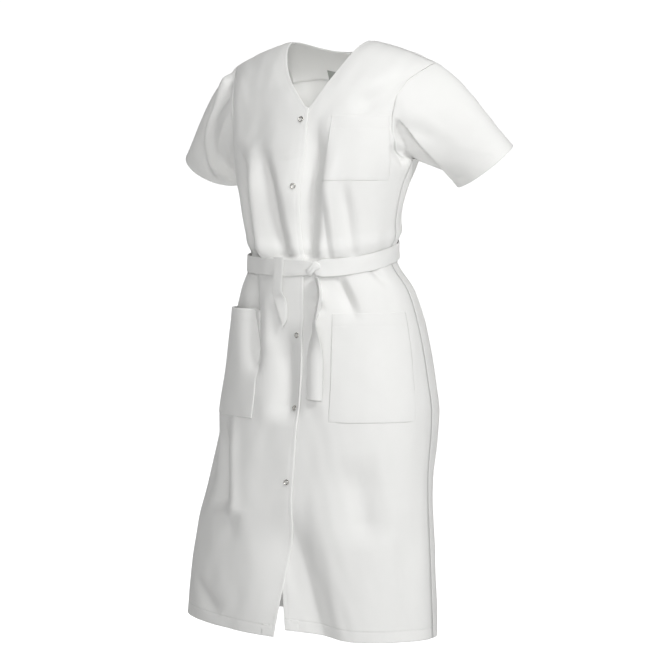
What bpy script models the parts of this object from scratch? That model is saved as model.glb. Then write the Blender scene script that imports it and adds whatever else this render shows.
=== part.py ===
"""A short-sleeved work smock with a tie belt, filled out as worn, with nobody in it.

Metres, +Z up. The wearer would face -Y, so +X is the wearer's left. The origin lies midway between the
neck ends of the two shoulder seams, where a wearer carries the smock.

Every panel is a grid of points on one body surface, given its thickness by Solidify. The body surface is
a stack of oval girths that rounds over at the shoulders, with the folds of the cloth pressed into it.
"""

import math
from collections import namedtuple

import bmesh
import bpy
from mathutils import Matrix, Vector
from mathutils.bvhtree import BVHTree

# Driving sizes
LENGTH = 1.040  # neck end of the shoulder seam to the hem
CLOTH = 0.0012  # one wall of the body and sleeves
POCKET_CLOTH = 0.0011
FACING_CLOTH = 0.0010
BELT_CLOTH = 0.0018  # two layers and a seam
GAP = 0.0003  # air between pieces sewn together
SEAM_TRIM = 0.0002  # taken off each panel where it meets the next one
SQUARENESS = 2.2  # exponent of the oval girths, 2 being an ellipse

NECK_HALF = 0.075  # centre to the neck end of the shoulder seam
SHOULDER_HALF = 0.196
SHOULDER_DROP = 0.040  # fall of the shoulder seam from neck to sleeve
SHOULDER_BOW = 1.4  # above 1, the seam bows up on its way
TURN_DEPTH = 0.085  # how far below the seam the cloth has finished rounding over the shoulder
BACK_NECK_DROP = 0.017

UNDERARM = -0.208
CHEST_POCKET_TOP = -0.132
CHEST_POCKET_BOTTOM = -0.243
HIP_POCKET_TOP = -0.4740
HIP_POCKET_BOTTOM = -0.662
HIP_POCKET_GAPE = 0.016  # how far the right pocket's mouth stands off

WAIST = -0.396
BELT_HALF = 0.015
BELT_RISE = 0.043  # the belt rides up towards the wearer's left side and back
BELT_OFF = 0.0042  # from the smooth body to the belt's inner face, clear of both fronts

FRONT_LAP = 0.013  # each front runs past the centre line by this much
VENT_TOP = -0.860  # below here the two front edges swing apart
VENT_SWING = 0.024
LEFT_HEM_LIFT = 0.014
SIDE_HEM_LIFT = 0.014
RIGHT_POCKET_SHIFT = 0.009  # the right hip pocket sits this much further from the centre

SNAP_HEIGHTS = (-0.138, -0.2535, -0.513, -0.640, -0.769)
SNAP_ACROSS = 0.003  # the snaps sit this far to the wearer's left of the centre line
SNAP_RADIUS = 0.0050
SNAP_WIRE = 0.0011

WHITE = (0.90, 0.90, 0.89, 1.0)
STEEL = (0.62, 0.62, 0.62, 1.0)

# The girths, from the shoulders down: half width across, depth to the front and to the back of the
# centre, and where that centre lies.
Girth = namedtuple("Girth", "height half_width front back centre_x centre_y")
GIRTHS = (
    Girth(0.000, 0.224, 0.090, 0.090, 0.000, 0.000),
    Girth(-0.040, 0.212, 0.100, 0.098, 0.000, 0.008),
    Girth(-0.085, 0.196, 0.112, 0.106, 0.000, 0.003),
    Girth(-0.138, 0.181, 0.118, 0.112, -0.002, -0.006),
    Girth(-0.208, 0.170, 0.119, 0.115, -0.006, -0.018),
    Girth(-0.260, 0.157, 0.117, 0.114, -0.0115, -0.025),
    Girth(-0.330, 0.1465, 0.110, 0.108, -0.0140, -0.026),
    Girth(-0.385, 0.133, 0.106, 0.104, -0.008, -0.025),
    Girth(-0.440, 0.159, 0.120, 0.120, -0.004, -0.015),
    Girth(-0.515, 0.179, 0.131, 0.130, -0.004, -0.008),
    Girth(-0.595, 0.194, 0.140, 0.139, -0.004, -0.008),
    Girth(-0.655, 0.205, 0.143, 0.143, -0.006, -0.011),
    Girth(-0.770, 0.214, 0.128, 0.134, -0.013, -0.030),
    Girth(-0.905, 0.231, 0.122, 0.129, -0.018, -0.045),
    Girth(-LENGTH, 0.241, 0.122, 0.126, -0.018, -0.055),
)

# Folds: the line that each follows, from its upper to its lower end, as the angle round the body from
# the centre front (degrees, + to the wearer's left) and the height, then how wide and how deep it is.
Fold = namedtuple("Fold", "top_angle top bottom_angle bottom width depth")
FRONT_FOLDS = (
    Fold(-43, -0.190, -41, -0.410, 0.018, 0.014),
    Fold(-22, -0.215, -14, -0.410, 0.014, 0.010),
    Fold(18, -0.180, 19, -0.410, 0.014, 0.012),
    Fold(34, -0.275, 37, -0.405, 0.012, 0.006),
    Fold(46, -0.230, 56, -0.400, 0.016, 0.005),
    Fold(76, -0.290, 79, -0.395, 0.014, 0.006),
    Fold(-68, -0.255, -66, -0.405, 0.014, 0.007),
    Fold(-42, -0.385, -34, -0.550, 0.018, 0.013),
    Fold(6, -0.385, 7, -0.690, 0.015, 0.007),
    Fold(24, -0.385, 46, -0.450, 0.013, 0.007),
    Fold(36, -0.425, 44, -0.515, 0.016, 0.005),
    Fold(62, -0.375, 70, -0.430, 0.012, 0.005),
    Fold(-66, -0.630, -58, -0.860, 0.028, 0.014),
    Fold(16, -0.820, 34, -1.075, 0.030, 0.014),
    Fold(48, -0.780, 60, -0.910, 0.036, 0.007),
    Fold(-70, -0.960, -42, -1.025, 0.018, 0.005),
    Fold(-58, -0.045, -50, -0.185, 0.024, 0.005),
    Fold(60, -0.060, 22, -0.130, 0.022, 0.006),
)
BACK_FOLDS = (
    Fold(106, -0.245, 110, -0.385, 0.015, 0.007),
    Fold(131, -0.225, 135, -0.385, 0.016, 0.011),
    Fold(158, -0.260, 157, -0.385, 0.014, 0.007),
    Fold(186, -0.235, 182, -0.385, 0.016, 0.010),
    Fold(210, -0.260, 208, -0.385, 0.014, 0.007),
    Fold(235, -0.220, 232, -0.390, 0.016, 0.011),
    Fold(260, -0.250, 257, -0.395, 0.014, 0.007),
    Fold(126, -0.355, 118, -0.500, 0.017, 0.008),
    Fold(160, -0.355, 164, -0.540, 0.018, 0.008),
    Fold(204, -0.360, 198, -0.520, 0.018, 0.008),
    Fold(238, -0.370, 246, -0.500, 0.017, 0.008),
    Fold(118, -0.680, 124, -1.075, 0.036, 0.013),
    Fold(176, -0.720, 168, -1.075, 0.034, 0.010),
    Fold(228, -0.680, 222, -1.075, 0.036, 0.013),
)


def clamp(value, low=0.0, high=1.0):
    return max(low, min(high, value))


def mix(a, b, share):
    return a + (b - a) * share


def ease(share):
    """0 to 1 with no slope at either end."""
    share = clamp(share)
    return share * share * (3 - 2 * share)


def bend(start, leave, end, arrive, share):
    """A point on the smooth curve from start to end that leaves and arrives along the given ways."""
    s = share
    return (
        start * (2 * s**3 - 3 * s**2 + 1)
        + leave * (s**3 - 2 * s**2 + s)
        + end * (3 * s**2 - 2 * s**3)
        + arrive * (s**3 - s**2)
    )


def girth(height):
    """The girth at a height: a smooth curve through each column of the table."""
    height = clamp(height, GIRTHS[-1].height, GIRTHS[0].height)
    below = next(i for i in range(1, len(GIRTHS)) if height >= GIRTHS[i].height)
    first, last = GIRTHS[below - 1], GIRTHS[below]
    step = last.height - first.height

    def slope(index, column):
        before = GIRTHS[max(index - 1, 0)]
        after = GIRTHS[min(index + 1, len(GIRTHS) - 1)]
        return (after[column] - before[column]) / (after.height - before.height)

    def value(column):
        leave = slope(below - 1, column) * step
        arrive = slope(below, column) * step
        return bend(first[column], leave, last[column], arrive, (height - first.height) / step)

    return Girth(height, *(value(column) for column in range(1, 6)))


def shoulder_height(x):
    """Height of the shoulder seam, carried on level across the neck."""
    out = (abs(x) - NECK_HALF) / (SHOULDER_HALF - NECK_HALF)
    return -SHOULDER_DROP * max(out, 0.0) ** SHOULDER_BOW


def turnover(x, height):
    """0 on the shoulder seam, 1 where the cloth has rounded over and hangs."""
    fallen = clamp((shoulder_height(x) - height) / TURN_DEPTH)
    return math.sqrt(1 - (1 - fallen) ** 2)


def across_at(angle, height):
    """x of the body surface at an angle from the centre front."""
    ring = girth(height)
    side = math.sin(math.radians(angle))
    return ring.centre_x + ring.half_width * math.copysign(abs(side) ** (2 / SQUARENESS), side)


def angle_at(out, side, height):
    """Angle at which the surface lies a distance out from its own middle, towards one side."""
    share = clamp(out / girth(height).half_width, -1.0, 1.0)
    return side * math.degrees(math.asin(math.copysign(abs(share) ** (SQUARENESS / 2), share)))


def smooth_body(angle, height):
    """A point of the body surface with no folds in it."""
    ring = girth(height)
    x = across_at(angle, height)
    forward = math.cos(math.radians(angle))
    depth = ring.front if forward > 0 else ring.back
    reach = depth * abs(forward) ** (2 / SQUARENESS) * turnover(x, height)
    return Vector((x, ring.centre_y - math.copysign(reach, forward), height))


def outward(angle, height):
    """The smooth body's outward direction, level with the floor."""
    step = 1.5
    along = smooth_body(angle + step, height) - smooth_body(angle - step, height)
    return Vector((along.y, -along.x, 0)).normalized()


def belt_height(angle):
    """The belt dips to the knot in front and rides up at the wearer's left and back."""
    turn = math.radians(angle)
    return WAIST + BELT_RISE * (0.5 - 0.5 * math.cos(turn)) * (0.62 + 0.38 * math.sin(turn))


def fold_depth(angle, height):
    """How far the folds press the cloth inwards at a point."""
    ring = girth(height)
    radius = (ring.half_width + ring.front) / 2
    pressed = 0.0
    for fold in FRONT_FOLDS + BACK_FOLDS:
        turn = (angle - fold.top_angle + 180) % 360 - 180
        here = Vector((math.radians(turn) * radius, height - fold.top))
        line = Vector((math.radians(fold.bottom_angle - fold.top_angle) * radius, fold.bottom - fold.top))
        along = here.dot(line) / line.length_squared
        if not 0 < along < 1:
            continue
        off_line = (here - line * along).length
        ends = ease(along / 0.45) * ease((1 - along) / 0.25)
        pressed += fold.depth * ends * math.exp(-((off_line / fold.width) ** 2))
    under_belt = math.exp(-(((height - belt_height(angle)) / 0.018) ** 2))
    return pressed * (1 - 0.8 * under_belt)


def front_lap(height):
    """How far a front runs past the centre line: steady, then swinging apart at the vent."""
    return FRONT_LAP - VENT_SWING * clamp((VENT_TOP - height) / (VENT_TOP + LENGTH))


def hem_lift(angle, height, side):
    """The hem rises to the wearer's right, and the left front's lower corner is drawn up by a fold."""
    near = ease(1 - (angle + 4) / 38) if side > 0 else 0.0
    to_right = 0.5 - 0.5 * math.sin(math.radians(angle))
    rise = LEFT_HEM_LIFT * near + SIDE_HEM_LIFT * max(0.0, 2 * to_right - 1)
    return rise * clamp((-0.92 - height) / 0.12)


def cloth_point(angle, height, side=0):
    """A point of the folded cloth. The right front (side -1) lies over the left one at the centre."""
    out = outward(angle, height)
    point = smooth_body(angle, height) - out * fold_depth(angle, height)
    if side < 0:
        point += out * (CLOTH + 2 * GAP) * (1 - ease((abs(angle) - 12) / 16))
    point.z += hem_lift(angle, height, side)
    return point


# Rows of the body panels. Level rows come first, then rows that tilt up to the shoulder seam, given by
# how far along they are.
LEVEL_ROWS = (
    (-LENGTH, -1.015, -0.975, -0.930, -0.882, -0.834, -0.786, -0.744, -0.703)
    + (HIP_POCKET_BOTTOM, -0.625, -0.588, -0.550, -0.512, HIP_POCKET_TOP)
    + (-0.452, -0.430, -0.411, -0.394, -0.377, -0.358, -0.332, -0.302, -0.272)
    + (CHEST_POCKET_BOTTOM, -0.225, UNDERARM, -0.188, -0.160, CHEST_POCKET_TOP)
)
TILTED_ROWS = (0.13, 0.30, 0.50, 0.68, 0.83, 0.94, 1.0)
UNDERARM_ROW = LEVEL_ROWS.index(UNDERARM)
ROW_COUNT = len(LEVEL_ROWS) + len(TILTED_ROWS)

# The armhole, from the underarm up: height, and distance out from the middle on front and back.
ArmholePoint = namedtuple("ArmholePoint", "height front back")
ARMHOLE = (
    ArmholePoint(UNDERARM, 0.1700, 0.1700),
    ArmholePoint(-0.188, 0.1600, 0.1640),
    ArmholePoint(-0.160, 0.1530, 0.1600),
    ArmholePoint(-0.130, 0.1520, 0.1600),
    ArmholePoint(-0.097, 0.1570, 0.1650),
    ArmholePoint(-0.068, 0.1700, 0.1760),
    ArmholePoint(-SHOULDER_DROP, SHOULDER_HALF, SHOULDER_HALF),
)

# The two lines that the pockets' edges follow: distance out of the inner one, and how far out towards
# the side the outer one lies.
PocketLine = namedtuple("PocketLine", "height inner outer_share")
POCKET_LINES = (
    PocketLine(-LENGTH, 0.074, 0.900),
    PocketLine(HIP_POCKET_BOTTOM, 0.071, 0.955),
    PocketLine(HIP_POCKET_TOP, 0.066, 0.975),
    PocketLine(WAIST, 0.062, 0.930),
    PocketLine(CHEST_POCKET_BOTTOM, 0.057, 0.940),
    PocketLine(CHEST_POCKET_TOP, 0.058, 0.815),
    PocketLine(0.0, 0.100, 0.780),
)

# Where each front's neckline meets its front edge: distance past the centre line, and height.
NeckCorner = namedtuple("NeckCorner", "past height")
NECK_CORNER = {-1: NeckCorner(0.007, -0.118), 1: NeckCorner(0.013, -0.160)}

LAP_COLUMNS, INNER_COLUMNS, POCKET_COLUMNS, SIDE_COLUMNS = 2, 5, 11, 3
FRONT_COLUMNS = (LAP_COLUMNS, INNER_COLUMNS, POCKET_COLUMNS, SIDE_COLUMNS)
BACK_COLUMNS = 12  # from the centre back to each side
NECK_COLUMN = 5  # the back's column that ends at the neck end of the shoulder seam


def along_table(table, height, column):
    """A column of a table at a height, in straight lines from row to row."""
    for low, high in zip(table, table[1:]):
        if height <= high.height:
            share = (height - low.height) / (high.height - low.height)
            return mix(getattr(low, column), getattr(high, column), share)
    return getattr(table[-1], column)


def neckline_out(height, corner):
    """Distance out of the V neckline's edge, bowed a little towards the neck."""
    share = clamp((height - corner.height) / -corner.height)
    return mix(-corner.past, NECK_HALF, share) + 0.007 * math.sin(math.pi * share)


def row_ends(row, top=0.0):
    """Heights at which a row starts at the centre and ends at the side."""
    if row < len(LEVEL_ROWS):
        return LEVEL_ROWS[row], LEVEL_ROWS[row]
    rise = TILTED_ROWS[row - len(LEVEL_ROWS)]
    return mix(CHEST_POCKET_TOP, top, rise), mix(CHEST_POCKET_TOP, -SHOULDER_DROP, rise)


def row_rise(row):
    """How far a row has tilted: 0 for a level row, 1 for the shoulder seam."""
    return TILTED_ROWS[row - len(LEVEL_ROWS)] if row >= len(LEVEL_ROWS) else 0.0


def spread(stations, counts):
    """Evenly spaced values from each station to the next."""
    values = [stations[0]]
    for start, end, count in zip(stations, stations[1:], counts):
        values += [mix(start, end, step / count) for step in range(1, count + 1)]
    return values


def front_row(row, side):
    """The points of one row of a front, from its front edge to the side seam or armhole."""
    start_height, end_height = row_ends(row)
    corner = NECK_CORNER[side]
    start = -front_lap(start_height)
    if start_height > corner.height:
        start = neckline_out(start_height, corner)
    end = girth(end_height).half_width
    if end_height > UNDERARM:
        end = along_table(ARMHOLE, end_height, "front")
    inner = along_table(POCKET_LINES, start_height, "inner") + (RIGHT_POCKET_SHIFT if side < 0 else 0)
    outer = along_table(POCKET_LINES, start_height, "outer_share") * girth(start_height).half_width
    lap = max(FRONT_LAP, start + 0.012)
    inner = max(inner, lap + 0.010)
    outer = min(outer, end - 0.008)
    bow = 1 + (SHOULDER_BOW - 1) * row_rise(row)
    points = []
    for out in spread((start, lap, inner, outer, end), FRONT_COLUMNS):
        share = (out - start) / (end - start)
        height = mix(start_height, end_height, share**bow)
        points.append(cloth_point(angle_at(out, side, height), height, side))
    return points


def back_row(row):
    """The points of one row of the back, from the wearer's left side to the right."""
    end_height = row_ends(row)[1]
    end = girth(end_height).half_width
    if end_height > UNDERARM:
        end = along_table(ARMHOLE, end_height, "back")
    rise = row_rise(row)
    level_end = along_table(ARMHOLE, CHEST_POCKET_TOP, "back")
    half = []
    for column in range(BACK_COLUMNS + 1):
        share = column / BACK_COLUMNS
        if not rise:
            half.append((180 - angle_at(end, 1, end_height) * share, end_height))
            continue
        # Above the chest the columns fan out, so that one of them meets the neck end of the seam.
        level_out = level_end * math.sin(math.radians(angle_at(level_end, 1, CHEST_POCKET_TOP) * share))
        level_out *= 1 / math.sin(math.radians(angle_at(level_end, 1, CHEST_POCKET_TOP)))
        to_neck = share * BACK_COLUMNS / NECK_COLUMN
        if to_neck <= 1:
            top_out, top = NECK_HALF * to_neck, -BACK_NECK_DROP * (1 - to_neck**2)
        else:
            beyond = (column - NECK_COLUMN) / (BACK_COLUMNS - NECK_COLUMN)
            top_out, top = mix(NECK_HALF, SHOULDER_HALF, beyond), -SHOULDER_DROP * beyond**SHOULDER_BOW
        out = mix(level_out, top_out, rise) if column < BACK_COLUMNS else end
        height = mix(CHEST_POCKET_TOP, top, rise)
        half.append((180 - angle_at(out, 1, height), height))
    left = [cloth_point(angle, height) for angle, height in reversed(half)]
    right = [cloth_point(360 - angle, height) for angle, height in half[1:]]
    return left + right


def new_material(name, colour, roughness, metallic=0.0):
    material = bpy.data.materials.new(name)
    material.use_nodes = True
    shader = material.node_tree.nodes["Principled BSDF"]
    shader.inputs["Base Color"].default_value = colour
    shader.inputs["Roughness"].default_value = roughness
    shader.inputs["Metallic"].default_value = metallic
    material.diffuse_color = colour
    return material


def grid_mesh(name, points, closed=False):
    """A mesh over rows of points; closed joins each row's last point to its first."""
    rows, columns = len(points), len(points[0])
    sheet = bmesh.new()
    bmesh.ops.create_grid(sheet, x_segments=columns - 1, y_segments=rows - 1, size=1.0)
    for vertex in sheet.verts:
        column = round((vertex.co.x + 1) / 2 * (columns - 1))
        row = round((vertex.co.y + 1) / 2 * (rows - 1))
        vertex.co = points[row][column]
    if closed:
        bmesh.ops.remove_doubles(sheet, verts=sheet.verts, dist=1e-6)
    mesh = bpy.data.meshes.new(name)
    sheet.to_mesh(mesh)
    sheet.free()
    mesh.shade_smooth()
    return mesh


def sew(name, points, thickness, material, grows=1.0, closed=False):
    """A cloth piece: a sheet through rows of points that grows outwards (1) or inwards (-1)."""
    piece = bpy.data.objects.new(name, grid_mesh(name, points, closed))
    piece.data.materials.append(material)
    SMOCK.objects.link(piece)
    wall = piece.modifiers.new("wall", "SOLIDIFY")
    wall.thickness = thickness
    wall.offset = grows
    return piece


def panel_normals(points):
    """The outward direction at every point of a panel's grid."""
    panel = grid_mesh("guide", points)
    found = {tuple(round(c, 6) for c in vertex.co): vertex.normal.copy() for vertex in panel.vertices}
    bpy.data.meshes.remove(panel)
    return [[found[tuple(round(c, 6) for c in Vector(point))] for point in line] for line in points]


def lifted(points, distance, rows, columns, gape=0.0):
    """Part of a panel's own grid, moved out along the panel's normals."""
    normals = panel_normals(points)
    moved = []
    for row in range(rows[0], rows[1] + 1):
        line = []
        for column in range(columns[0], columns[1] + 1):
            up = (row - rows[0]) / (rows[1] - rows[0])
            over = (column - columns[0]) / (columns[1] - columns[0])
            open_by = gape * up**1.5 * math.sin(math.pi * over) ** 0.8 if gape else 0.0
            line.append(points[row][column] + normals[row][column] * (distance + open_by))
        moved.append(line)
    return moved


def trimmed(points, side_columns):
    """A panel's grid, drawn in a little along its side seams and its shoulder seams."""
    cut = [[point.copy() for point in line] for line in points]
    for column in side_columns:
        inward = 1 if column == 0 else -2
        for row in range(UNDERARM_ROW + 1):
            cut[row][column] += (points[row][inward] - points[row][column]).normalized() * SEAM_TRIM
    for column, point in enumerate(points[-1]):
        cut[-1][column] += (points[-2][column] - point).normalized() * SEAM_TRIM
    return cut


def make_fronts(cloth):
    """Both fronts, as grids with their columns running from the wearer's right to the left."""
    right = trimmed([front_row(row, -1)[::-1] for row in range(ROW_COUNT)], (0,))
    left = trimmed([front_row(row, 1) for row in range(ROW_COUNT)], (-1,))
    sew("front_right", right, CLOTH, cloth)
    sew("front_left", left, CLOTH, cloth)
    return right, left


def make_back(cloth):
    rows = trimmed([back_row(row) for row in range(ROW_COUNT)], (0, -1))
    sew("back", rows, CLOTH, cloth)
    return rows


def make_pockets(right, left, cloth):
    """Patch pockets: one on the left breast and one on each hip."""
    hip_rows = LEVEL_ROWS.index(HIP_POCKET_BOTTOM), LEVEL_ROWS.index(HIP_POCKET_TOP)
    chest_rows = LEVEL_ROWS.index(CHEST_POCKET_BOTTOM), LEVEL_ROWS.index(CHEST_POCKET_TOP)
    inner = LAP_COLUMNS + INNER_COLUMNS
    on_left = inner, inner + POCKET_COLUMNS
    on_right = SIDE_COLUMNS, SIDE_COLUMNS + POCKET_COLUMNS
    off = CLOTH + GAP
    sew("chest_pocket", lifted(left, off, chest_rows, on_left), POCKET_CLOTH, cloth)
    sew("hip_pocket_left", lifted(left, off, hip_rows, on_left), POCKET_CLOTH, cloth)
    gaping = lifted(right, off, hip_rows, on_right, HIP_POCKET_GAPE)
    sew("hip_pocket_right", gaping, POCKET_CLOTH, cloth)


# The sleeves end in a slanted oval at the cuff: its centre, and how far it reaches from there along
# its long way up and its short way forward.
Cuff = namedtuple("Cuff", "centre long short")
CUFFS = {
    1: Cuff(Vector((0.265, 0.063, -0.219)), Vector((0.052, 0.0, 0.034)), Vector((0.012, -0.042, -0.015))),
    -1: Cuff(Vector((-0.276, 0.063, -0.225)), Vector((-0.055, 0.0, 0.0292)), Vector((-0.012, -0.042, -0.015))),
}
SLEEVE_RINGS = 8
CUFF_WAY = Vector((0.60, 0.32, -0.73))  # the way the left sleeve points at its cuff


def make_sleeve(name, side, front_edge, back_edge, cloth):
    """A sleeve from armhole to cuff. Its first ring is the armhole's own points, from the underarm up
    the front and down the back. It stands off them where it leaves at an angle to the panel."""
    root = front_edge + back_edge[-2:0:-1]
    lengths = [0.0]
    for (a, _), (b, _) in zip(root, root[1:] + root[:1]):
        lengths.append(lengths[-1] + (b - a).length)
    cuff = CUFFS[side]
    arrive = Vector((side * CUFF_WAY.x, CUFF_WAY.y, CUFF_WAY.z))
    columns = []
    for (point, normal), length in zip(root, lengths):
        turn = 2 * math.pi * length / lengths[-1]
        top = 0.5 - 0.5 * math.cos(turn)
        leave = Vector((side * mix(0.72, 0.86, top), mix(0.30, 0.08, top), mix(-0.38, -0.50, top)))
        end = cuff.centre - cuff.long * math.cos(turn) + cuff.short * math.sin(turn)
        crease = max(0.0, leave.dot(normal))
        start = point + leave * (2.2 * GAP + 3.6 * CLOTH * crease)
        reach = (end - start).length
        columns.append([bend(start, leave * reach, end, arrive * reach, ring / SLEEVE_RINGS)
                        for ring in range(SLEEVE_RINGS + 1)])
    columns.append([point.copy() for point in columns[0]])
    rings = [[column[ring] for column in columns] for ring in range(SLEEVE_RINGS, -1, -1)]
    sew(name, rings if side > 0 else [line[::-1] for line in rings], CLOTH, cloth, closed=True)


def make_sleeves(right, left, back, cloth):
    for name, side, front, front_end, back_end in (
        ("sleeve_right", -1, right, 0, -1),
        ("sleeve_left", 1, left, -1, 0),
    ):
        edges = []
        for panel, end in ((front, front_end), (back, back_end)):
            normals = panel_normals(panel)
            edges.append([(panel[row][end], normals[row][end]) for row in range(UNDERARM_ROW, ROW_COUNT)])
        make_sleeve(name, side, *edges, cloth)


def make_neck_facing(back, cloth):
    """The facing that finishes the back neck on the inside, and the bare label sewn to it."""
    middle, top = BACK_COLUMNS, ROW_COUNT - 1
    reach = NECK_COLUMN + 3
    facing = lifted(back, -GAP, (top - 4, top), (middle - reach, middle + reach))
    sew("neck_facing", facing, FACING_CLOTH, cloth, grows=-1.0)
    label = lifted(back, -(2 * GAP + FACING_CLOTH), (top - 4, top - 3), (middle - 1, middle + 4))
    sew("neck_label", label, FACING_CLOTH, cloth, grows=-1.0)


def over_body(angle, height, off):
    """A point that stands off the smooth body."""
    return smooth_body(angle, height) + outward(angle, height) * off


# The knot, wider than it is high.
KNOT_ANGLE = 12.5
KNOT_WIDE, KNOT_THICK, KNOT_HIGH = 0.032, 0.012, 0.032
BAND_SLIT = 0.3  # degrees from the knot's middle to each end of the band under it

# The free ends of the belt: where the middle line runs, how wide it shows there, how far the strip is
# turned from hanging straight down (90 lies along the belt), and how far it is twisted edge-on.
TailPoint = namedtuple("TailPoint", "angle height off half_width turn twist")
SHORT_TAIL = (
    TailPoint(4.2, -0.396, 0.0072, 0.0085, -90, 0),
    TailPoint(1.0, -0.396, 0.0074, 0.0100, -90, 0),
    TailPoint(-2.2, -0.3965, 0.0078, 0.0110, -88, 0),
    TailPoint(-4.8, -0.3985, 0.0084, 0.0118, -68, 0),
    TailPoint(-6.6, -0.4040, 0.0090, 0.0122, -42, 0),
    TailPoint(-7.4, -0.4130, 0.0095, 0.0120, -17, 0),
    TailPoint(-7.6, -0.4270, 0.0098, 0.0115, 0, 0),
    TailPoint(-7.2, -0.4460, 0.0100, 0.0112, 4, 6),
    TailPoint(-6.2, -0.4640, 0.0095, 0.0110, 8, -8),
    TailPoint(-5.2, -0.4810, 0.0090, 0.0095, 10, -16),
    TailPoint(-4.4, -0.5010, 0.0088, 0.0030, 10, -20),
)
LONG_TAIL = (
    TailPoint(14.6, -0.4108, 0.0150, 0.0110, 0, 55),
    TailPoint(14.6, -0.4400, 0.0155, 0.0120, 0, 60),
    TailPoint(12.6, -0.4680, 0.0160, 0.0130, 0, 62),
    TailPoint(10.8, -0.4920, 0.0155, 0.0138, 0, 56),
    TailPoint(10.6, -0.5160, 0.0135, 0.0145, 0, 38),
    TailPoint(11.4, -0.5450, 0.0110, 0.0150, 0, 22),
    TailPoint(11.6, -0.5800, 0.0092, 0.0150, 0, 12),
    TailPoint(11.6, -0.6080, 0.0086, 0.0150, 0, 8),
    TailPoint(11.6, -0.6230, 0.0086, 0.0150, 0, 8),
)


def make_belt(cloth):
    """The band round the waist. Its two ends meet under the knot."""
    steps = 60
    first, last = KNOT_ANGLE + BAND_SLIT, 360 + KNOT_ANGLE - BAND_SLIT
    angles = [mix(first, last, step / steps) for step in range(steps + 1)]
    rows = [
        [over_body(angle, belt_height(angle) + rise, BELT_OFF) for angle in angles]
        for rise in (-BELT_HALF, 0.0, BELT_HALF)
    ]
    sew("belt_band", rows, BELT_CLOTH, cloth)


def make_knot(cloth):
    knot = bmesh.new()
    bmesh.ops.create_cube(knot, size=1.0)
    over_band = BELT_OFF + BELT_CLOTH + GAP + 0.44 * KNOT_THICK
    middle = over_body(KNOT_ANGLE, belt_height(KNOT_ANGLE), over_band)
    out = outward(KNOT_ANGLE, WAIST)
    level = Vector((-out.y, out.x, 0))
    turn = Matrix((level, -out, Vector((0, 0, 1)))).transposed().to_4x4()
    size = Matrix.Diagonal((KNOT_WIDE, KNOT_THICK, KNOT_HIGH, 1.0))
    bmesh.ops.transform(knot, matrix=Matrix.Translation(middle) @ turn @ size, verts=knot.verts)
    mesh = bpy.data.meshes.new("belt_knot")
    knot.to_mesh(mesh)
    knot.free()
    mesh.shade_smooth()
    piece = bpy.data.objects.new("belt_knot", mesh)
    piece.data.materials.append(cloth)
    SMOCK.objects.link(piece)
    rounding = piece.modifiers.new("rounding", "SUBSURF")
    rounding.levels = rounding.render_levels = 2


def make_tail(name, course, slant, cloth):
    """A free end of the belt, cut off at a slant."""
    rows = []
    for place in reversed(course):
        out = outward(place.angle, place.height)
        level = Vector((-out.y, out.x, 0))
        turn, twist = math.radians(place.turn), math.radians(place.twist)
        in_face = level * math.cos(turn) + Vector((0, 0, 1)) * math.sin(turn)
        across = in_face * math.cos(twist) + out * math.sin(twist)
        middle = over_body(place.angle, place.height, place.off)
        drop = Vector((0, 0, slant if place is course[-1] else 0.0))
        rows.append([middle + (across * place.half_width + drop) * edge for edge in (-1, 0, 1)])
    sew(name, rows, BELT_CLOTH, cloth)


def make_snaps(steel):
    """Ring snaps down the right front, each seated on the cloth just there."""
    panel = BVHTree.FromObject(bpy.data.objects["front_right"], bpy.context.evaluated_depsgraph_get())
    for index, height in enumerate(SNAP_HEIGHTS):
        across = girth(height).centre_x + SNAP_ACROSS
        seat, normal, _, _ = panel.ray_cast(Vector((across, -1.0, height)), Vector((0, 1, 0)))
        bpy.ops.mesh.primitive_torus_add(
            location=seat + normal * (SNAP_WIRE + 2 * GAP),
            rotation=normal.to_track_quat("Z", "Y").to_euler(),
            major_segments=16,
            minor_segments=6,
            major_radius=SNAP_RADIUS - SNAP_WIRE,
            minor_radius=SNAP_WIRE,
        )
        ring = bpy.context.object
        ring.name = ring.data.name = f"snap_{index + 1}"
        ring.data.materials.append(steel)
        ring.data.shade_smooth()
        for holder in list(ring.users_collection):
            holder.objects.unlink(ring)
        SMOCK.objects.link(ring)


for leftover in list(bpy.data.objects):
    bpy.data.objects.remove(leftover, do_unlink=True)
SMOCK = bpy.data.collections.new("work_smock")
bpy.context.scene.collection.children.link(SMOCK)

poly_cotton = new_material("white_poly_cotton", WHITE, 0.85)
snap_steel = new_material("snap_steel", STEEL, 0.32, metallic=1.0)
right_front, left_front = make_fronts(poly_cotton)
back_panel = make_back(poly_cotton)
make_pockets(right_front, left_front, poly_cotton)
make_sleeves(right_front, left_front, back_panel, poly_cotton)
make_neck_facing(back_panel, poly_cotton)
make_belt(poly_cotton)
make_knot(poly_cotton)
make_tail("belt_tail_short", SHORT_TAIL, 0.004, poly_cotton)
make_tail("belt_tail_long", LONG_TAIL, -0.002, poly_cotton)
make_snaps(snap_steel)
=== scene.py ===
"""A short-sleeved work smock with a tie belt, filled out as worn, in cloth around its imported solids."""

import math
from collections import namedtuple

import bmesh
import bpy
import numpy as np
from mathutils import Matrix, Vector


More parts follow.
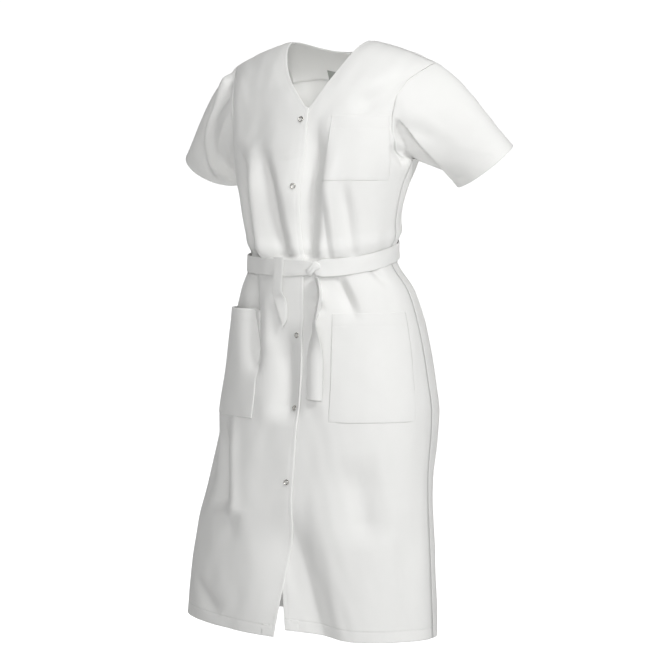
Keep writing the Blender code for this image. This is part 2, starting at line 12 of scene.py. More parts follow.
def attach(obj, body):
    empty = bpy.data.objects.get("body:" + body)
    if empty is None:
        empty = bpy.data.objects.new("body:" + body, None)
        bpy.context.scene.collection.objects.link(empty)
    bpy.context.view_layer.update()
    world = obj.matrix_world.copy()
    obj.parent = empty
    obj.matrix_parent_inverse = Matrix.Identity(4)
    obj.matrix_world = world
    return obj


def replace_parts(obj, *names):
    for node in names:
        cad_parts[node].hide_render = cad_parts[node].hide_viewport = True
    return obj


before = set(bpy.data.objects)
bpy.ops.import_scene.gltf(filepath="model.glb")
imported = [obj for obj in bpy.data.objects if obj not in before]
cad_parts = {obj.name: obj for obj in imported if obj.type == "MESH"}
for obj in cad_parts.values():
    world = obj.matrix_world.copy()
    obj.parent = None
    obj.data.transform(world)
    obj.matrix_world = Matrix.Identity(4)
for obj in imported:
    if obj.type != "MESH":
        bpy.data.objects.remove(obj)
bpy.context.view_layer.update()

# The two fronts, cut from white poly-cotton. The wearer's right front laps over the left one, and both
# edges are turned under to a facing. They hang from the shoulder seams, the belt gathers them at the
# waist, and the folds that it starts run up to the bust and down over the hips.
LENGTH = 1.040
CLOTH = 0.0008
LAP_STEP = 0.0034  # how far the right front stands off the left one, for both turned edges
SQUARENESS = 2.2
NECK_HALF = 0.075
SHOULDER_HALF = 0.196
SHOULDER_DROP = 0.040
SHOULDER_BOW = 1.4
TURN_DEPTH = 0.085
UNDERARM = -0.208
CHEST_POCKET_TOP, CHEST_POCKET_BOTTOM = -0.132, -0.243
HIP_POCKET_TOP, HIP_POCKET_BOTTOM = -0.4740, -0.662
WAIST = -0.396
BELT_RISE = 0.043
FRONT_LAP = 0.013
VENT_TOP, VENT_SWING = -0.860, 0.024
LEFT_HEM_LIFT, SIDE_HEM_LIFT = 0.014, 0.014
RIGHT_POCKET_SHIFT = 0.009
HEM_TURN = 0.020
EDGE_RADIUS = 0.0007  # inside radius of a turned edge
FACING = 0.024
SEAM_TUCK, SIDE_TUCK = 0.0009, 0.0003  # how deep a seam pulls the cloth in

Girth = namedtuple("Girth", "height half_width front back centre_x centre_y")
GIRTHS = (
    Girth(0.000, 0.224, 0.090, 0.090, 0.000, 0.000),
    Girth(-0.040, 0.212, 0.100, 0.098, 0.000, 0.008),
    Girth(-0.085, 0.196, 0.112, 0.106, 0.000, 0.003),
    Girth(-0.138, 0.181, 0.118, 0.112, -0.002, -0.006),
    Girth(-0.208, 0.170, 0.119, 0.115, -0.006, -0.018),
    Girth(-0.260, 0.157, 0.117, 0.114, -0.0115, -0.025),
    Girth(-0.330, 0.1465, 0.110, 0.108, -0.0140, -0.026),
    Girth(-0.385, 0.133, 0.106, 0.104, -0.008, -0.025),
    Girth(-0.440, 0.159, 0.120, 0.120, -0.004, -0.015),
    Girth(-0.515, 0.179, 0.131, 0.130, -0.004, -0.008),
    Girth(-0.595, 0.194, 0.140, 0.139, -0.004, -0.008),
    Girth(-0.655, 0.205, 0.143, 0.143, -0.006, -0.011),
    Girth(-0.770, 0.214, 0.128, 0.134, -0.013, -0.030),
    Girth(-0.905, 0.231, 0.122, 0.129, -0.018, -0.045),
    Girth(-LENGTH, 0.241, 0.122, 0.126, -0.018, -0.055),
)

# Each fold runs from its top to its bottom, as an angle round the body from the centre front and a
# height, along the line where it is deepest. Crease is how straight the wall on its side towards the
# wearer's left is, from 0 where it is soft to 1 where it ends in a crease. Bow bends it sideways, fade
# is the share of its length over which its bottom end runs out, and a negative depth is a ridge.
Fold = namedtuple("Fold", "top_angle top bottom_angle bottom width depth crease bow fade")
FRONT_FOLDS = (
    Fold(-50, -0.165, -43, -0.388, 0.027, 0.0290, 1.0, 0.009, 0.05),
    Fold(-23, -0.170, -6, -0.388, 0.015, 0.0165, 0.9, 0.006, 0.05),
    Fold(8, -0.120, 10, -0.390, 0.017, 0.0225, 1.0, 0.008, 0.05),
    Fold(19, -0.250, 26, -0.388, 0.010, 0.0090, 0.8, 0.0, 0.05),
    Fold(31, -0.225, 48, -0.384, 0.012, 0.0065, 0.5, 0.0, 0.08),
    Fold(58, -0.180, 86, -0.216, 0.009, 0.0120, 0.7, 0.0, 0.30),
    Fold(76, -0.320, 79, -0.384, 0.012, 0.0035, 0.2, 0.0, 0.10),
    Fold(-72, -0.245, -68, -0.386, 0.016, 0.0100, 0.6, 0.0, 0.06),
    Fold(-40, -0.390, -20, -0.600, 0.014, 0.0210, 0.8, 0.0, 0.35),
    Fold(-22, -0.410, -14, -0.560, 0.013, -0.0050, 0.0, 0.0, 0.25),
    Fold(-4, -0.480, -1, -0.672, 0.017, 0.0170, 0.9, 0.0, 0.20),
    Fold(27, -0.392, 37, -0.495, 0.013, 0.0150, 0.8, 0.0, 0.45),
    Fold(55, -0.380, 72, -0.430, 0.011, 0.0070, 0.4, 0.0, 0.30),
    Fold(9, -0.440, 17, -0.478, 0.008, 0.0045, 0.5, 0.0, 0.40),
    Fold(-78, -0.610, -57, -0.860, 0.034, 0.0120, 0.3, 0.0, 0.35),
    Fold(-50, -0.650, -36, -0.838, 0.030, 0.0190, 0.7, 0.0, 0.15),
    Fold(-36, -0.645, -25, -0.845, 0.014, -0.0085, 0.0, 0.0, 0.12),
    Fold(-1, -0.790, 20, -1.080, 0.032, 0.0210, 0.6, 0.0, 0.10),
    Fold(34, -0.710, 40, -0.885, 0.034, 0.0125, 0.1, 0.0, 0.30),
    Fold(66, -0.800, 62, -1.070, 0.036, 0.0070, 0.0, 0.0, 0.20),
    Fold(-58, -0.955, -28, -1.022, 0.015, 0.0070, 0.3, 0.0, 0.30),
    Fold(-52, -0.020, -50, -0.250, 0.034, -0.0080, 0.0, 0.0, 0.30),
    Fold(-32, -0.165, -27, -0.388, 0.015, -0.0090, 0.0, 0.0, 0.05),
    Fold(22, -0.150, 23, -0.388, 0.010, -0.0040, 0.0, 0.0, 0.05),
    Fold(-25, -0.640, -19, -0.880, 0.026, -0.0050, 0.0, 0.0, 0.25),
    Fold(61, -0.055, 26, -0.132, 0.020, 0.0080, 0.2, 0.0, 0.30),
)
BACK_FOLDS = (
    Fold(106, -0.245, 110, -0.385, 0.014, 0.0080, 0.4, 0.0, 0.08),
    Fold(131, -0.225, 135, -0.385, 0.018, 0.0130, 0.8, 0.0, 0.08),
    Fold(158, -0.260, 157, -0.385, 0.014, 0.0080, 0.6, 0.0, 0.08),
    Fold(186, -0.235, 182, -0.385, 0.018, 0.0120, 0.8, 0.0, 0.08),
    Fold(210, -0.260, 208, -0.385, 0.014, 0.0080, 0.5, 0.0, 0.08),
    Fold(235, -0.220, 232, -0.386, 0.018, 0.0130, 0.8, 0.0, 0.08),
    Fold(260, -0.250, 257, -0.388, 0.014, 0.0080, 0.4, 0.0, 0.08),
    Fold(126, -0.365, 118, -0.500, 0.018, 0.0090, 0.6, 0.0, 0.35),
    Fold(160, -0.360, 164, -0.540, 0.019, 0.0100, 0.6, 0.0, 0.35),
    Fold(204, -0.365, 198, -0.520, 0.018, 0.0090, 0.6, 0.0, 0.35),
    Fold(238, -0.370, 246, -0.500, 0.018, 0.0100, 0.6, 0.0, 0.35),
    Fold(118, -0.680, 124, -1.075, 0.038, 0.0150, 0.3, 0.0, 0.10),
    Fold(176, -0.720, 168, -1.075, 0.036, 0.0120, 0.3, 0.0, 0.10),
    Fold(228, -0.680, 222, -1.075, 0.038, 0.0150, 0.3, 0.0, 0.10),
)
FOLD_SHAPE = 1.9  # 2 is a plain round fold, and less is more pointed
SOFT_SIDE = 1.3  # how much wider a creased fold is on its soft side
CREASE_ROUND = 0.09  # how much of a fold's width its crease is rounded over
TOP_FADE = 0.40  # share of a fold's length over which its top end runs out
BELT_HOLDS, BELT_REACH = 0.8, 0.017  # how flat the belt holds the folds, and how near to it
BLOUSE, BLOUSE_ABOVE, BLOUSE_SPREAD = 0.0055, 0.031, 0.015  # how the cloth above the belt bulges over it
ArmholePoint = namedtuple("ArmholePoint", "height front back")
ARMHOLE = (
    ArmholePoint(UNDERARM, 0.1700, 0.1700),
    ArmholePoint(-0.188, 0.1600, 0.1640),
    ArmholePoint(-0.160, 0.1530, 0.1600),
    ArmholePoint(-0.130, 0.1520, 0.1600),
    ArmholePoint(-0.097, 0.1570, 0.1650),
    ArmholePoint(-0.068, 0.1700, 0.1760),
    ArmholePoint(-SHOULDER_DROP, SHOULDER_HALF, SHOULDER_HALF),
)
PocketLine = namedtuple("PocketLine", "height inner outer_share")
POCKET_LINES = (
    PocketLine(-LENGTH, 0.074, 0.900),
    PocketLine(HIP_POCKET_BOTTOM, 0.071, 0.955),
    PocketLine(HIP_POCKET_TOP, 0.066, 0.975),
    PocketLine(WAIST, 0.062, 0.930),
    PocketLine(CHEST_POCKET_BOTTOM, 0.057, 0.940),
    PocketLine(CHEST_POCKET_TOP, 0.058, 0.815),
    PocketLine(0.0, 0.100, 0.780),
)
NeckCorner = namedtuple("NeckCorner", "past height")
NECK_CORNER = {-1: NeckCorner(0.007, -0.118), 1: NeckCorner(0.013, -0.160)}


def mix(a, b, share):
    return a + (b - a) * share


def ease(share):
    share = np.clip(share, 0.0, 1.0)
    return share * share * (3 - 2 * share)


def unit(vectors):
    return vectors / np.maximum(np.linalg.norm(vectors, axis=-1, keepdims=True), 1e-12)


def hermite(start, leave, end, arrive, s):
    return (
        start * (2 * s**3 - 3 * s**2 + 1)
        + leave * (s**3 - 2 * s**2 + s)
        + end * (3 * s**2 - 2 * s**3)
        + arrive * (s**3 - s**2)
    )


def girth(height):
    """Every column of the girth table at some heights, smooth from row to row."""
    table = np.array(GIRTHS)[::-1]
    height = np.clip(height, table[0, 0], table[-1, 0])
    above = np.clip(np.searchsorted(table[:, 0], height, side="right"), 1, len(table) - 1)
    low, high = table[above - 1], table[above]
    before, after = table[np.maximum(above - 2, 0)], table[np.minimum(above + 1, len(table) - 1)]
    step = high[..., :1] - low[..., :1]
    leave = (high - before) / (high[..., :1] - before[..., :1]) * step
    arrive = (after - low) / (after[..., :1] - low[..., :1]) * step
    share = (height[..., None] - low[..., :1]) / step
    return hermite(low, leave, high, arrive, share)


def shoulder_height(x):
    out = (np.abs(x) - NECK_HALF) / (SHOULDER_HALF - NECK_HALF)
    return -SHOULDER_DROP * np.maximum(out, 0.0) ** SHOULDER_BOW


def angle_at(out, height):
    """Angle from the centre at which the body lies a distance out from its own middle."""
    share = np.clip(out / girth(height)[..., 1], -1.0, 1.0)
    return np.degrees(np.arcsin(np.sign(share) * np.abs(share) ** (SQUARENESS / 2)))


def smooth_body(angle, height):
    """The body's surface with no folds in it."""
    angle, height = np.broadcast_arrays(np.asarray(angle, float), np.asarray(height, float))
    ring = girth(height)
    side, forward = np.sin(np.radians(angle)), np.cos(np.radians(angle))
    x = ring[..., 4] + ring[..., 1] * np.sign(side) * np.abs(side) ** (2 / SQUARENESS)
    fallen = np.clip((shoulder_height(x) - height) / TURN_DEPTH, 0.0, 1.0)
    depth = np.where(forward > 0, ring[..., 2], ring[..., 3])
    reach = depth * np.abs(forward) ** (2 / SQUARENESS) * np.sqrt(1 - (1 - fallen) ** 2)
    return np.stack([x, ring[..., 5] - np.sign(forward) * reach, height], axis=-1)


def outward(angle, height):
    """The smooth body's outward direction, level with the floor."""
    along = smooth_body(np.asarray(angle) + 1.5, height) - smooth_body(np.asarray(angle) - 1.5, height)
    return unit(np.stack([along[..., 1], -along[..., 0], np.zeros_like(along[..., 0])], axis=-1))


def belt_height(angle):
    turn = np.radians(angle)
    return WAIST + BELT_RISE * (0.5 - 0.5 * np.cos(turn)) * (0.62 + 0.38 * np.sin(turn))


def fold_depth(angle, height):
    """How far the folds press the cloth inwards."""
    ring = girth(height)
    radius = (ring[..., 1] + ring[..., 2]) / 2
    pressed = np.zeros_like(height)
    for fold in FRONT_FOLDS + BACK_FOLDS:
        turn = (angle - fold.top_angle + 180) % 360 - 180
        across, down = np.radians(turn) * radius, height - fold.top
        line_across = np.radians(fold.bottom_angle - fold.top_angle) * radius
        line_down = fold.bottom - fold.top
        length = np.hypot(line_across, line_down)
        along = (across * line_across + down * line_down) / length**2
        off_line = (across * line_down - down * line_across) / length
        off_line = -off_line - fold.bow * np.sin(np.pi * np.clip(along, 0, 1))
        ends = ease(along / TOP_FADE) * ease((1 - along) / fold.fade)
        across = off_line / fold.width
        soft = np.exp(-np.abs(across) ** FOLD_SHAPE)
        soft_side = np.exp(-np.abs(across / SOFT_SIDE) ** FOLD_SHAPE)
        straight = np.log1p(np.exp((1 - across) / CREASE_ROUND)) * CREASE_ROUND
        pressed += fold.depth * ends * mix(soft, np.where(across > 0, straight, soft_side), fold.crease)
    from_belt = height - belt_height(angle)
    bulge = BLOUSE * np.exp(-(((from_belt - BLOUSE_ABOVE) / BLOUSE_SPREAD) ** 2))
    return pressed * (1 - BELT_HOLDS * np.exp(-((from_belt / BELT_REACH) ** 4))) - bulge


def hem_lift(angle, height, side):
    near = ease(1 - (angle + 4) / 38) if side > 0 else 0.0
    to_right = 0.5 - 0.5 * np.sin(np.radians(angle))
    rise = LEFT_HEM_LIFT * near + SIDE_HEM_LIFT * np.maximum(0.0, 2 * to_right - 1)
    return rise * np.clip((-0.92 - height) / 0.12, 0.0, 1.0)


def cloth_at(angle, height, side=0):
    """The folded cloth. Side -1 is the right front, which lies over the left one at the centre."""
    out = outward(angle, height)
    lap = LAP_STEP * (1 - ease((np.abs(angle) - 12) / 16)) if side < 0 else np.zeros_like(height)
    point = smooth_body(angle, height) + out * (lap - fold_depth(angle, height))[..., None]
    point[..., 2] += hem_lift(angle, height, side)
    return point


def front_at(side, out, height):
    return cloth_at(side * angle_at(out, height), height, side)


def along_table(table, height, column):
    rows = np.array(table)
    return np.interp(height, rows[:, 0], rows[:, table[0]._fields.index(column)])


def neckline_out(height, corner):
    share = np.clip((height - corner.height) / -corner.height, 0.0, 1.0)
    return mix(-corner.past, NECK_HALF, share) + 0.007 * np.sin(np.pi * share)


def pocket_lines(side, height):
    """Distance out of the two lines that the pockets' edges follow."""
    inner = along_table(POCKET_LINES, height, "inner") + (RIGHT_POCKET_SHIFT if side < 0 else 0.0)
    return inner, along_table(POCKET_LINES, height, "outer_share") * girth(height)[..., 1]


ROW_STEP = 0.0042
EDGE_STEPS = np.array([0, 1, 2, 3, 4, 5, 6, 8, 11, 14.5, 18, 22, 26]) / 26
SIDE_STEPS = np.array([0, 0.2, 0.38, 0.54, 0.68, 0.79, 0.88, 0.93, 0.97, 1.0])


def panel_rows():
    """Heights of a panel's rows at the centre and side, and how far each has tilted to the shoulder."""
    hem = -LENGTH + np.array([0, 2, 5, 9, 13, 16, 18, 19, 20, 21, 22, 24, 27, 31]) / 1000
    level = [hem]
    for low, high in ((hem[-1], UNDERARM), (UNDERARM, CHEST_POCKET_TOP)):
        level.append(np.linspace(low, high, round((high - low) / ROW_STEP) + 1)[1:])
    level = np.concatenate(level)
    rise = np.concatenate([np.linspace(0, 0.97, 31)[1:], [0.98, 0.988, 0.994, 1.0]])
    return np.concatenate([level, np.full(len(rise), np.nan)]), np.concatenate([0 * level, rise])


def front_grid(side):
    """Points of a front, from its front edge to the side seam, rows from the hem up."""
    level, rise = panel_rows()
    start_height = np.where(rise > 0, mix(CHEST_POCKET_TOP, 0.0, rise), level)
    end_height = np.where(rise > 0, mix(CHEST_POCKET_TOP, -SHOULDER_DROP, rise), level)
    corner = NECK_CORNER[side]
    swing = VENT_SWING * np.clip((VENT_TOP - start_height) / (VENT_TOP + LENGTH), 0.0, 1.0)
    start = np.where(start_height > corner.height, neckline_out(start_height, corner), swing - FRONT_LAP)
    half_width = girth(end_height)[..., 1]
    end = np.where(end_height > UNDERARM, along_table(ARMHOLE, end_height, "front"), half_width)
    inner, outer = pocket_lines(side, start_height)
    lap = np.maximum(FRONT_LAP, start + 0.012)
    inner = np.maximum(inner, lap + 0.010)
    outer = np.minimum(outer, end - 0.008)
    stations = (
        (start, lap, EDGE_STEPS),
        (lap, inner, np.linspace(0, 1, 15)),
        (inner, outer, np.linspace(0, 1, 37)),
        (outer, end, SIDE_STEPS),
    )
    columns = [start[:, None]]
    for first, last, steps in stations:
        columns.append(mix(first[:, None], last[:, None], steps[None, 1:]))
    out = np.concatenate(columns, axis=1)
    share = (out - start[:, None]) / (end - start)[:, None]
    bow = 1 + (SHOULDER_BOW - 1) * rise[:, None]
    height = mix(start_height[:, None], end_height[:, None], share**bow)
    return front_at(side, out, height)


def facing_out(points):
    """The outward direction at every point of a grid."""
    return unit(np.cross(np.gradient(points, axis=1), np.gradient(points, axis=0)))


def lengths(points):
    """Distance along each row of a grid from its first point."""
    steps = np.linalg.norm(np.diff(points, axis=1), axis=-1)
    return np.concatenate([np.zeros((len(points), 1)), np.cumsum(steps, axis=1)], axis=1)


def laid(grid, edge):
    """The grid turned so that one of its edges is the last column."""
    grid = np.swapaxes(grid, 0, 1) if edge in ("bottom", "top") else grid
    return grid[:, ::-1] if edge in ("bottom", "start") else grid


def laid_back(grid, edge):
    grid = grid[:, ::-1] if edge in ("bottom", "start") else grid
    return np.swapaxes(grid, 0, 1) if edge in ("bottom", "top") else grid


def from_edge(points, edge):
    """Distance of every point of a grid from one of its edges."""
    return laid_back(lengths(laid(points, edge)[:, ::-1])[:, ::-1], edge)


def along_edge(points, edge):
    """Distance of every point of a grid along one of its edges."""
    return laid_back(np.swapaxes(lengths(np.swapaxes(laid(points, edge), 0, 1)), 0, 1), edge)


def at_distance(points, edge, distance):
    """The line of points at a distance in from an edge, and the outward directions there."""
    both = np.concatenate([laid(points, edge), laid(facing_out(points), edge)], axis=-1)
    run = laid(from_edge(points, edge), edge)
    found = [
        [np.interp(distance, run[row, ::-1], both[row, ::-1, axis]) for axis in range(6)]
        for row in range(len(both))
    ]
    found = np.array(found)
    return found[:, :3], unit(found[:, 3:])


def turned(points, edge, width, radius=EDGE_RADIUS):
    """A grid whose cloth goes on round an edge and back inside for a width."""
    spots, ways = laid(points, edge), laid(facing_out(points), edge)
    leave = unit(spots[:, -1] - spots[:, -2])
    added = []
    for degrees in (30, 65, 100, 140, 180):
        turn = math.radians(degrees)
        rolled = leave * math.sin(turn) - ways[:, -1] * (1 - math.cos(turn))
        added.append(spots[:, -1] + rolled * radius)
    for share in (0.15, 0.35, 0.6, 0.85, 1.0):
        spot, way = at_distance(points, edge, share * width)
        added.append(spot - way * 2 * radius)
    return laid_back(np.concatenate([spots, np.stack(added, axis=1)], axis=1), edge)


def tucked(distance, depth=SEAM_TUCK):
    """How far a seam pulls its edge in: a quarter round, over the last few millimetres."""
    share = np.clip(distance / (1.8 * depth), 0.0, 1.0)
    return depth * (1 - np.sqrt(1 - (1 - share) ** 2))


def sewn(distance, along, at, pull=0.0004, seed=0.0):
    """How far a line of stitches pulls the cloth in, unevenly along its length."""
    near = np.exp(-(((distance - at) / 0.0011) ** 2))
    wide = np.exp(-(((distance - at) / 0.0060) ** 2))
    ripple = np.sin(along / 0.0021 + seed + 1.7 * np.sin(along / 0.0075))
    pucker = ripple * np.sin(along / 0.0330 + seed) ** 2
    return pull * near + 0.6 * pull * pucker * wide


def relieved(points, depth):
    return points - facing_out(points) * depth[..., None]


def crumpled(points, size, seed, reach=0.05):
    """Small uneven waves over a grid, longer down the cloth than across it."""
    chance = np.random.default_rng(seed)
    across, down = lengths(points), np.swapaxes(lengths(np.swapaxes(points, 0, 1)), 0, 1)
    waves = np.zeros(across.shape)
    for _ in range(14):
        turn = chance.normal(0, 0.55)
        length = reach * chance.uniform(0.5, 1.8)
        ahead = across * math.cos(turn) + down * math.sin(turn)
        waves += np.sin(ahead * 2 * math.pi / length + chance.uniform(0, 6.3))
    return points + facing_out(points) * (waves * size / 4)[..., None]


def cloth_mesh(name, points, closed=False):
    """A mesh over a grid of points, with a UV map in metres along the cloth's threads."""
    rows, columns = points.shape[:2]
    sheet = bmesh.new()
    bmesh.ops.create_grid(sheet, x_segments=columns - 1, y_segments=rows - 1, size=1.0)
    mesh = bpy.data.meshes.new(name)
    sheet.to_mesh(mesh)
    sheet.free()
    flat = np.zeros(len(mesh.vertices) * 3)
    mesh.vertices.foreach_get("co", flat)
    column = np.rint((flat[0::3] + 1) / 2 * (columns - 1)).astype(int)
    row = np.rint((flat[1::3] + 1) / 2 * (rows - 1)).astype(int)
    mesh.vertices.foreach_set("co", points[row, column].ravel())
    across, down = lengths(points), np.swapaxes(lengths(np.swapaxes(points, 0, 1)), 0, 1)
    corner = np.zeros(len(mesh.loops), int)
    mesh.loops.foreach_get("vertex_index", corner)
    threads = np.stack([across[row, column], down[row, column]], axis=1)[corner]
    mesh.uv_layers.new(name="threads").data.foreach_set("uv", threads.ravel())
    mesh.update()
    if closed:
        sheet = bmesh.new()
        sheet.from_mesh(mesh)
        bmesh.ops.remove_doubles(sheet, verts=sheet.verts, dist=1e-6)
        sheet.to_mesh(mesh)
        sheet.free()
    mesh.shade_smooth()
    return mesh


def shown(name, mesh, material):
    """Puts a finished mesh in the scene, on the smock's one body."""
    piece = bpy.data.objects.new(name, mesh)
    mesh.materials.clear()
    mesh.materials.append(material)
    bpy.context.scene.collection.objects.link(piece)
    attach(piece, "root")
    return piece


def walled(piece, thickness, grows=1.0):
    wall = piece.modifiers.new("wall", "SOLIDIFY")
    wall.thickness = thickness
    wall.offset = grows
    return piece


def linear(code):
    """A linear colour from an sRGB hex code."""
    shares = [int(code[place:place + 2], 16) / 255 for place in (0, 2, 4)]
    return tuple(c / 12.92 if c <= 0.04045 else ((c + 0.055) / 1.055) ** 2.4 for c in shares) + (1.0,)


def add(material, kind, settings=(), **links):
    """Adds one node to a material: settings are its properties and plain sockets, links its inputs."""
    node = material.node_tree.nodes.new(kind)
    for key, value in dict(settings).items():
        if isinstance(key, str) and hasattr(node, key):
            setattr(node, key, value)
        else:
            node.inputs[key].default_value = value
    for key, source in links.items():
        place = key.replace("_", " ") if not key.startswith("in") else int(key[2:])
        material.node_tree.links.new(source, node.inputs[place])
    return node


def poly_cotton(name, bright, dull, thread=0.0009):
    """Plain-woven poly-cotton: matt, with a faint sheen from its fibres. The real threads lie 0.4 mm
    apart, too fine to show, so the weave is drawn at about twice that."""
    cloth = bpy.data.materials.new(name)
    cloth.use_nodes = True
    shader = cloth.node_tree.nodes["Principled BSDF"]
    shader.inputs["Sheen Weight"].default_value = 0.12
    shader.inputs["Sheen Roughness"].default_value = 0.45
    threads = add(cloth, "ShaderNodeUVMap", {"uv_map": "threads"}).outputs["UV"]
    scale = 2 * math.pi / 20 / thread  # a wave texture of scale 1 repeats every pi / 10
    bands = {"wave_type": "BANDS", "wave_profile": "SIN", "Scale": scale, "Distortion": 0.6}
    warp, weft = (
        add(cloth, "ShaderNodeTexWave", {**bands, "bands_direction": way}, Vector=threads).outputs["Fac"]
        for way in "XY"
    )
    weave = add(cloth, "ShaderNodeMath", {"operation": "MULTIPLY"}, in0=warp, in1=weft).outputs["Value"]
    slub_noise = {"Scale": 260.0, "Detail": 2.0, "Roughness": 0.6}
    slubs = add(cloth, "ShaderNodeTexNoise", slub_noise, Vector=threads).outputs["Fac"]
    weave_bump = {"Strength": 0.22, "Distance": 0.0003}
    fine = add(cloth, "ShaderNodeBump", weave_bump, Height=weave).outputs["Normal"]
    slub_bump = {"Strength": 0.10, "Distance": 0.0006}
    worn = add(cloth, "ShaderNodeBump", slub_bump, Height=slubs, Normal=fine).outputs["Normal"]
    cloth.node_tree.links.new(worn, shader.inputs["Normal"])
    patch_noise = {"Scale": 14.0, "Detail": 4.0, "Roughness": 0.6}
    patches = add(cloth, "ShaderNodeTexNoise", patch_noise, Vector=threads).outputs["Fac"]
    whites = {"data_type": "RGBA", 6: linear(bright), 7: linear(dull)}
    tint = add(cloth, "ShaderNodeMix", whites, in0=patches)
    cloth.node_tree.links.new(tint.outputs[2], shader.inputs["Base Color"])
    matt = add(cloth, "ShaderNodeMapRange", {"To Min": 0.80, "To Max": 0.92}, Value=slubs)
    cloth.node_tree.links.new(matt.outputs["Result"], shader.inputs["Roughness"])
    return cloth


white_cloth = poly_cotton("white_poly_cotton_plain_weave", "E9E9E7", "E4E4E2")

STITCH_PITCH, STITCH_LONG, THREAD = 0.0030, 0.0024, 0.00042
HEM_STITCH, EDGE_STITCH = HEM_TURN - 0.002, 0.0055  # how far the stitches lie from a hem and from an edge


def one_grain():
    """The corners and faces of one stitch, as long and as thick as 1."""
    ball = bmesh.new()
    bmesh.ops.create_uvsphere(ball, u_segments=6, v_segments=4, radius=0.5)
    corners = np.array([vert.co[:] for vert in ball.verts])
    faces = [[vert.index for vert in face.verts] for face in ball.faces]
    ball.free()
    return corners, faces


GRAIN, GRAIN_FACES = one_grain()


def stitched(name, spots, ways, material, rise=CLOTH):
    """Lockstitches along a line on the cloth: each is a grain of thread, sunk a little into its hole."""
    run = lengths(spots[None])[0]
    count = int(run[-1] / STITCH_PITCH)
    place = (np.arange(count) + 0.5) * run[-1] / count
    spot, ahead = (
        np.stack([np.interp(place + step, run, spots[:, axis]) for axis in range(3)], axis=1)
        for step in (0, 0.001)
    )
    along = unit(ahead - spot)
    out = unit(np.stack([np.interp(place, run, ways[:, axis]) for axis in range(3)], axis=1))
    across = unit(np.cross(out, along))
    corners = (spot + out * rise)[:, None] + sum(
        GRAIN[None, :, axis, None] * (way * size)[:, None]
        for axis, way, size in ((2, along, STITCH_LONG), (0, across, THREAD), (1, out, THREAD))
    )
    starts = range(0, count * len(GRAIN), len(GRAIN))
    faces = [[start + corner for corner in face] for start in starts for face in GRAIN_FACES]
    mesh = bpy.data.meshes.new(name)
    mesh.from_pydata(corners.reshape(-1, 3), [], faces)
    mesh.shade_smooth()
    return shown(name, mesh, material)


def polyester_thread():
    """Spun polyester sewing thread: a little brighter than the cloth, with its twist as a fine bump."""
    thread = bpy.data.materials.new("white_spun_polyester_thread")
    thread.use_nodes = True
    shader = thread.node_tree.nodes["Principled BSDF"]
    shader.inputs["Roughness"].default_value = 0.55
    shader.inputs["Sheen Weight"].default_value = 0.2
    place = add(thread, "ShaderNodeTexCoord").outputs["Object"]
    twist_noise = {"Scale": 2400.0, "Detail": 1.0}
    twist = add(thread, "ShaderNodeTexNoise", twist_noise, Vector=place).outputs["Fac"]
    bump = add(thread, "ShaderNodeBump", {"Strength": 0.3, "Distance": 0.0001}, Height=twist)
    thread.node_tree.links.new(bump.outputs["Normal"], shader.inputs["Normal"])
    whites = {"data_type": "RGBA", 6: linear("F0F0EE"), 7: linear("DCDCDA")}
    tint = add(thread, "ShaderNodeMix", whites, in0=twist)
    thread.node_tree.links.new(tint.outputs[2], shader.inputs["Base Color"])
    return thread


white_thread = polyester_thread()

left_base, right_base = front_grid(1), front_grid(-1)[:, ::-1]
FRONT_EDGE = {1: "start", -1: "end"}
SIDE_EDGE = {1: "end", -1: "start"}


def front_cloth(points, side):
    """Seams, hem and stitches pressed into a front, and its edges turned under."""
    side_run = from_edge(points, SIDE_EDGE[side])
    depth = tucked(side_run, SIDE_TUCK) + tucked(from_edge(points, "top"))
    hem_run, edge_run = from_edge(points, "bottom"), from_edge(points, FRONT_EDGE[side])
    depth += sewn(hem_run, along_edge(points, "bottom"), HEM_STITCH, 0.0006, seed=side)
    depth += sewn(edge_run, along_edge(points, FRONT_EDGE[side]), EDGE_STITCH, 0.0003, seed=2 + side)
    points = mix(points, crumpled(points, 0.00045, 5 + side), ease(side_run / 0.03)[..., None])
    points = relieved(points, depth)
    return turned(turned(points, FRONT_EDGE[side], FACING), "bottom", HEM_TURN)


front_pieces = {}
for name, side, base in (("right", -1, right_base), ("left", 1, left_base)):
    points = front_cloth(base, side)
    piece = shown(f"front_{name}_cloth", cloth_mesh(f"front_{name}_cloth", points), white_cloth)
    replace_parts(walled(piece, CLOTH), f"front_{name}")
    front_pieces[side] = piece
    stitched(f"front_{name}_hem_stitches", *at_distance(base, "bottom", HEM_STITCH), white_thread)
    spots, ways = at_distance(base, FRONT_EDGE[side], EDGE_STITCH)
    stitched(f"front_{name}_edge_stitches", spots, ways, white_thread)


# The back, cut in one piece with no seam down its middle. It meets the fronts at the side and shoulder
# seams, is hollowed out a little at the neck, and has the same turned hem.
BACK_NECK_DROP = 0.017
BACK_HALF, NECK_SHARE = 66, 5 / 12  # columns on each side, and how far out the neck's end lies


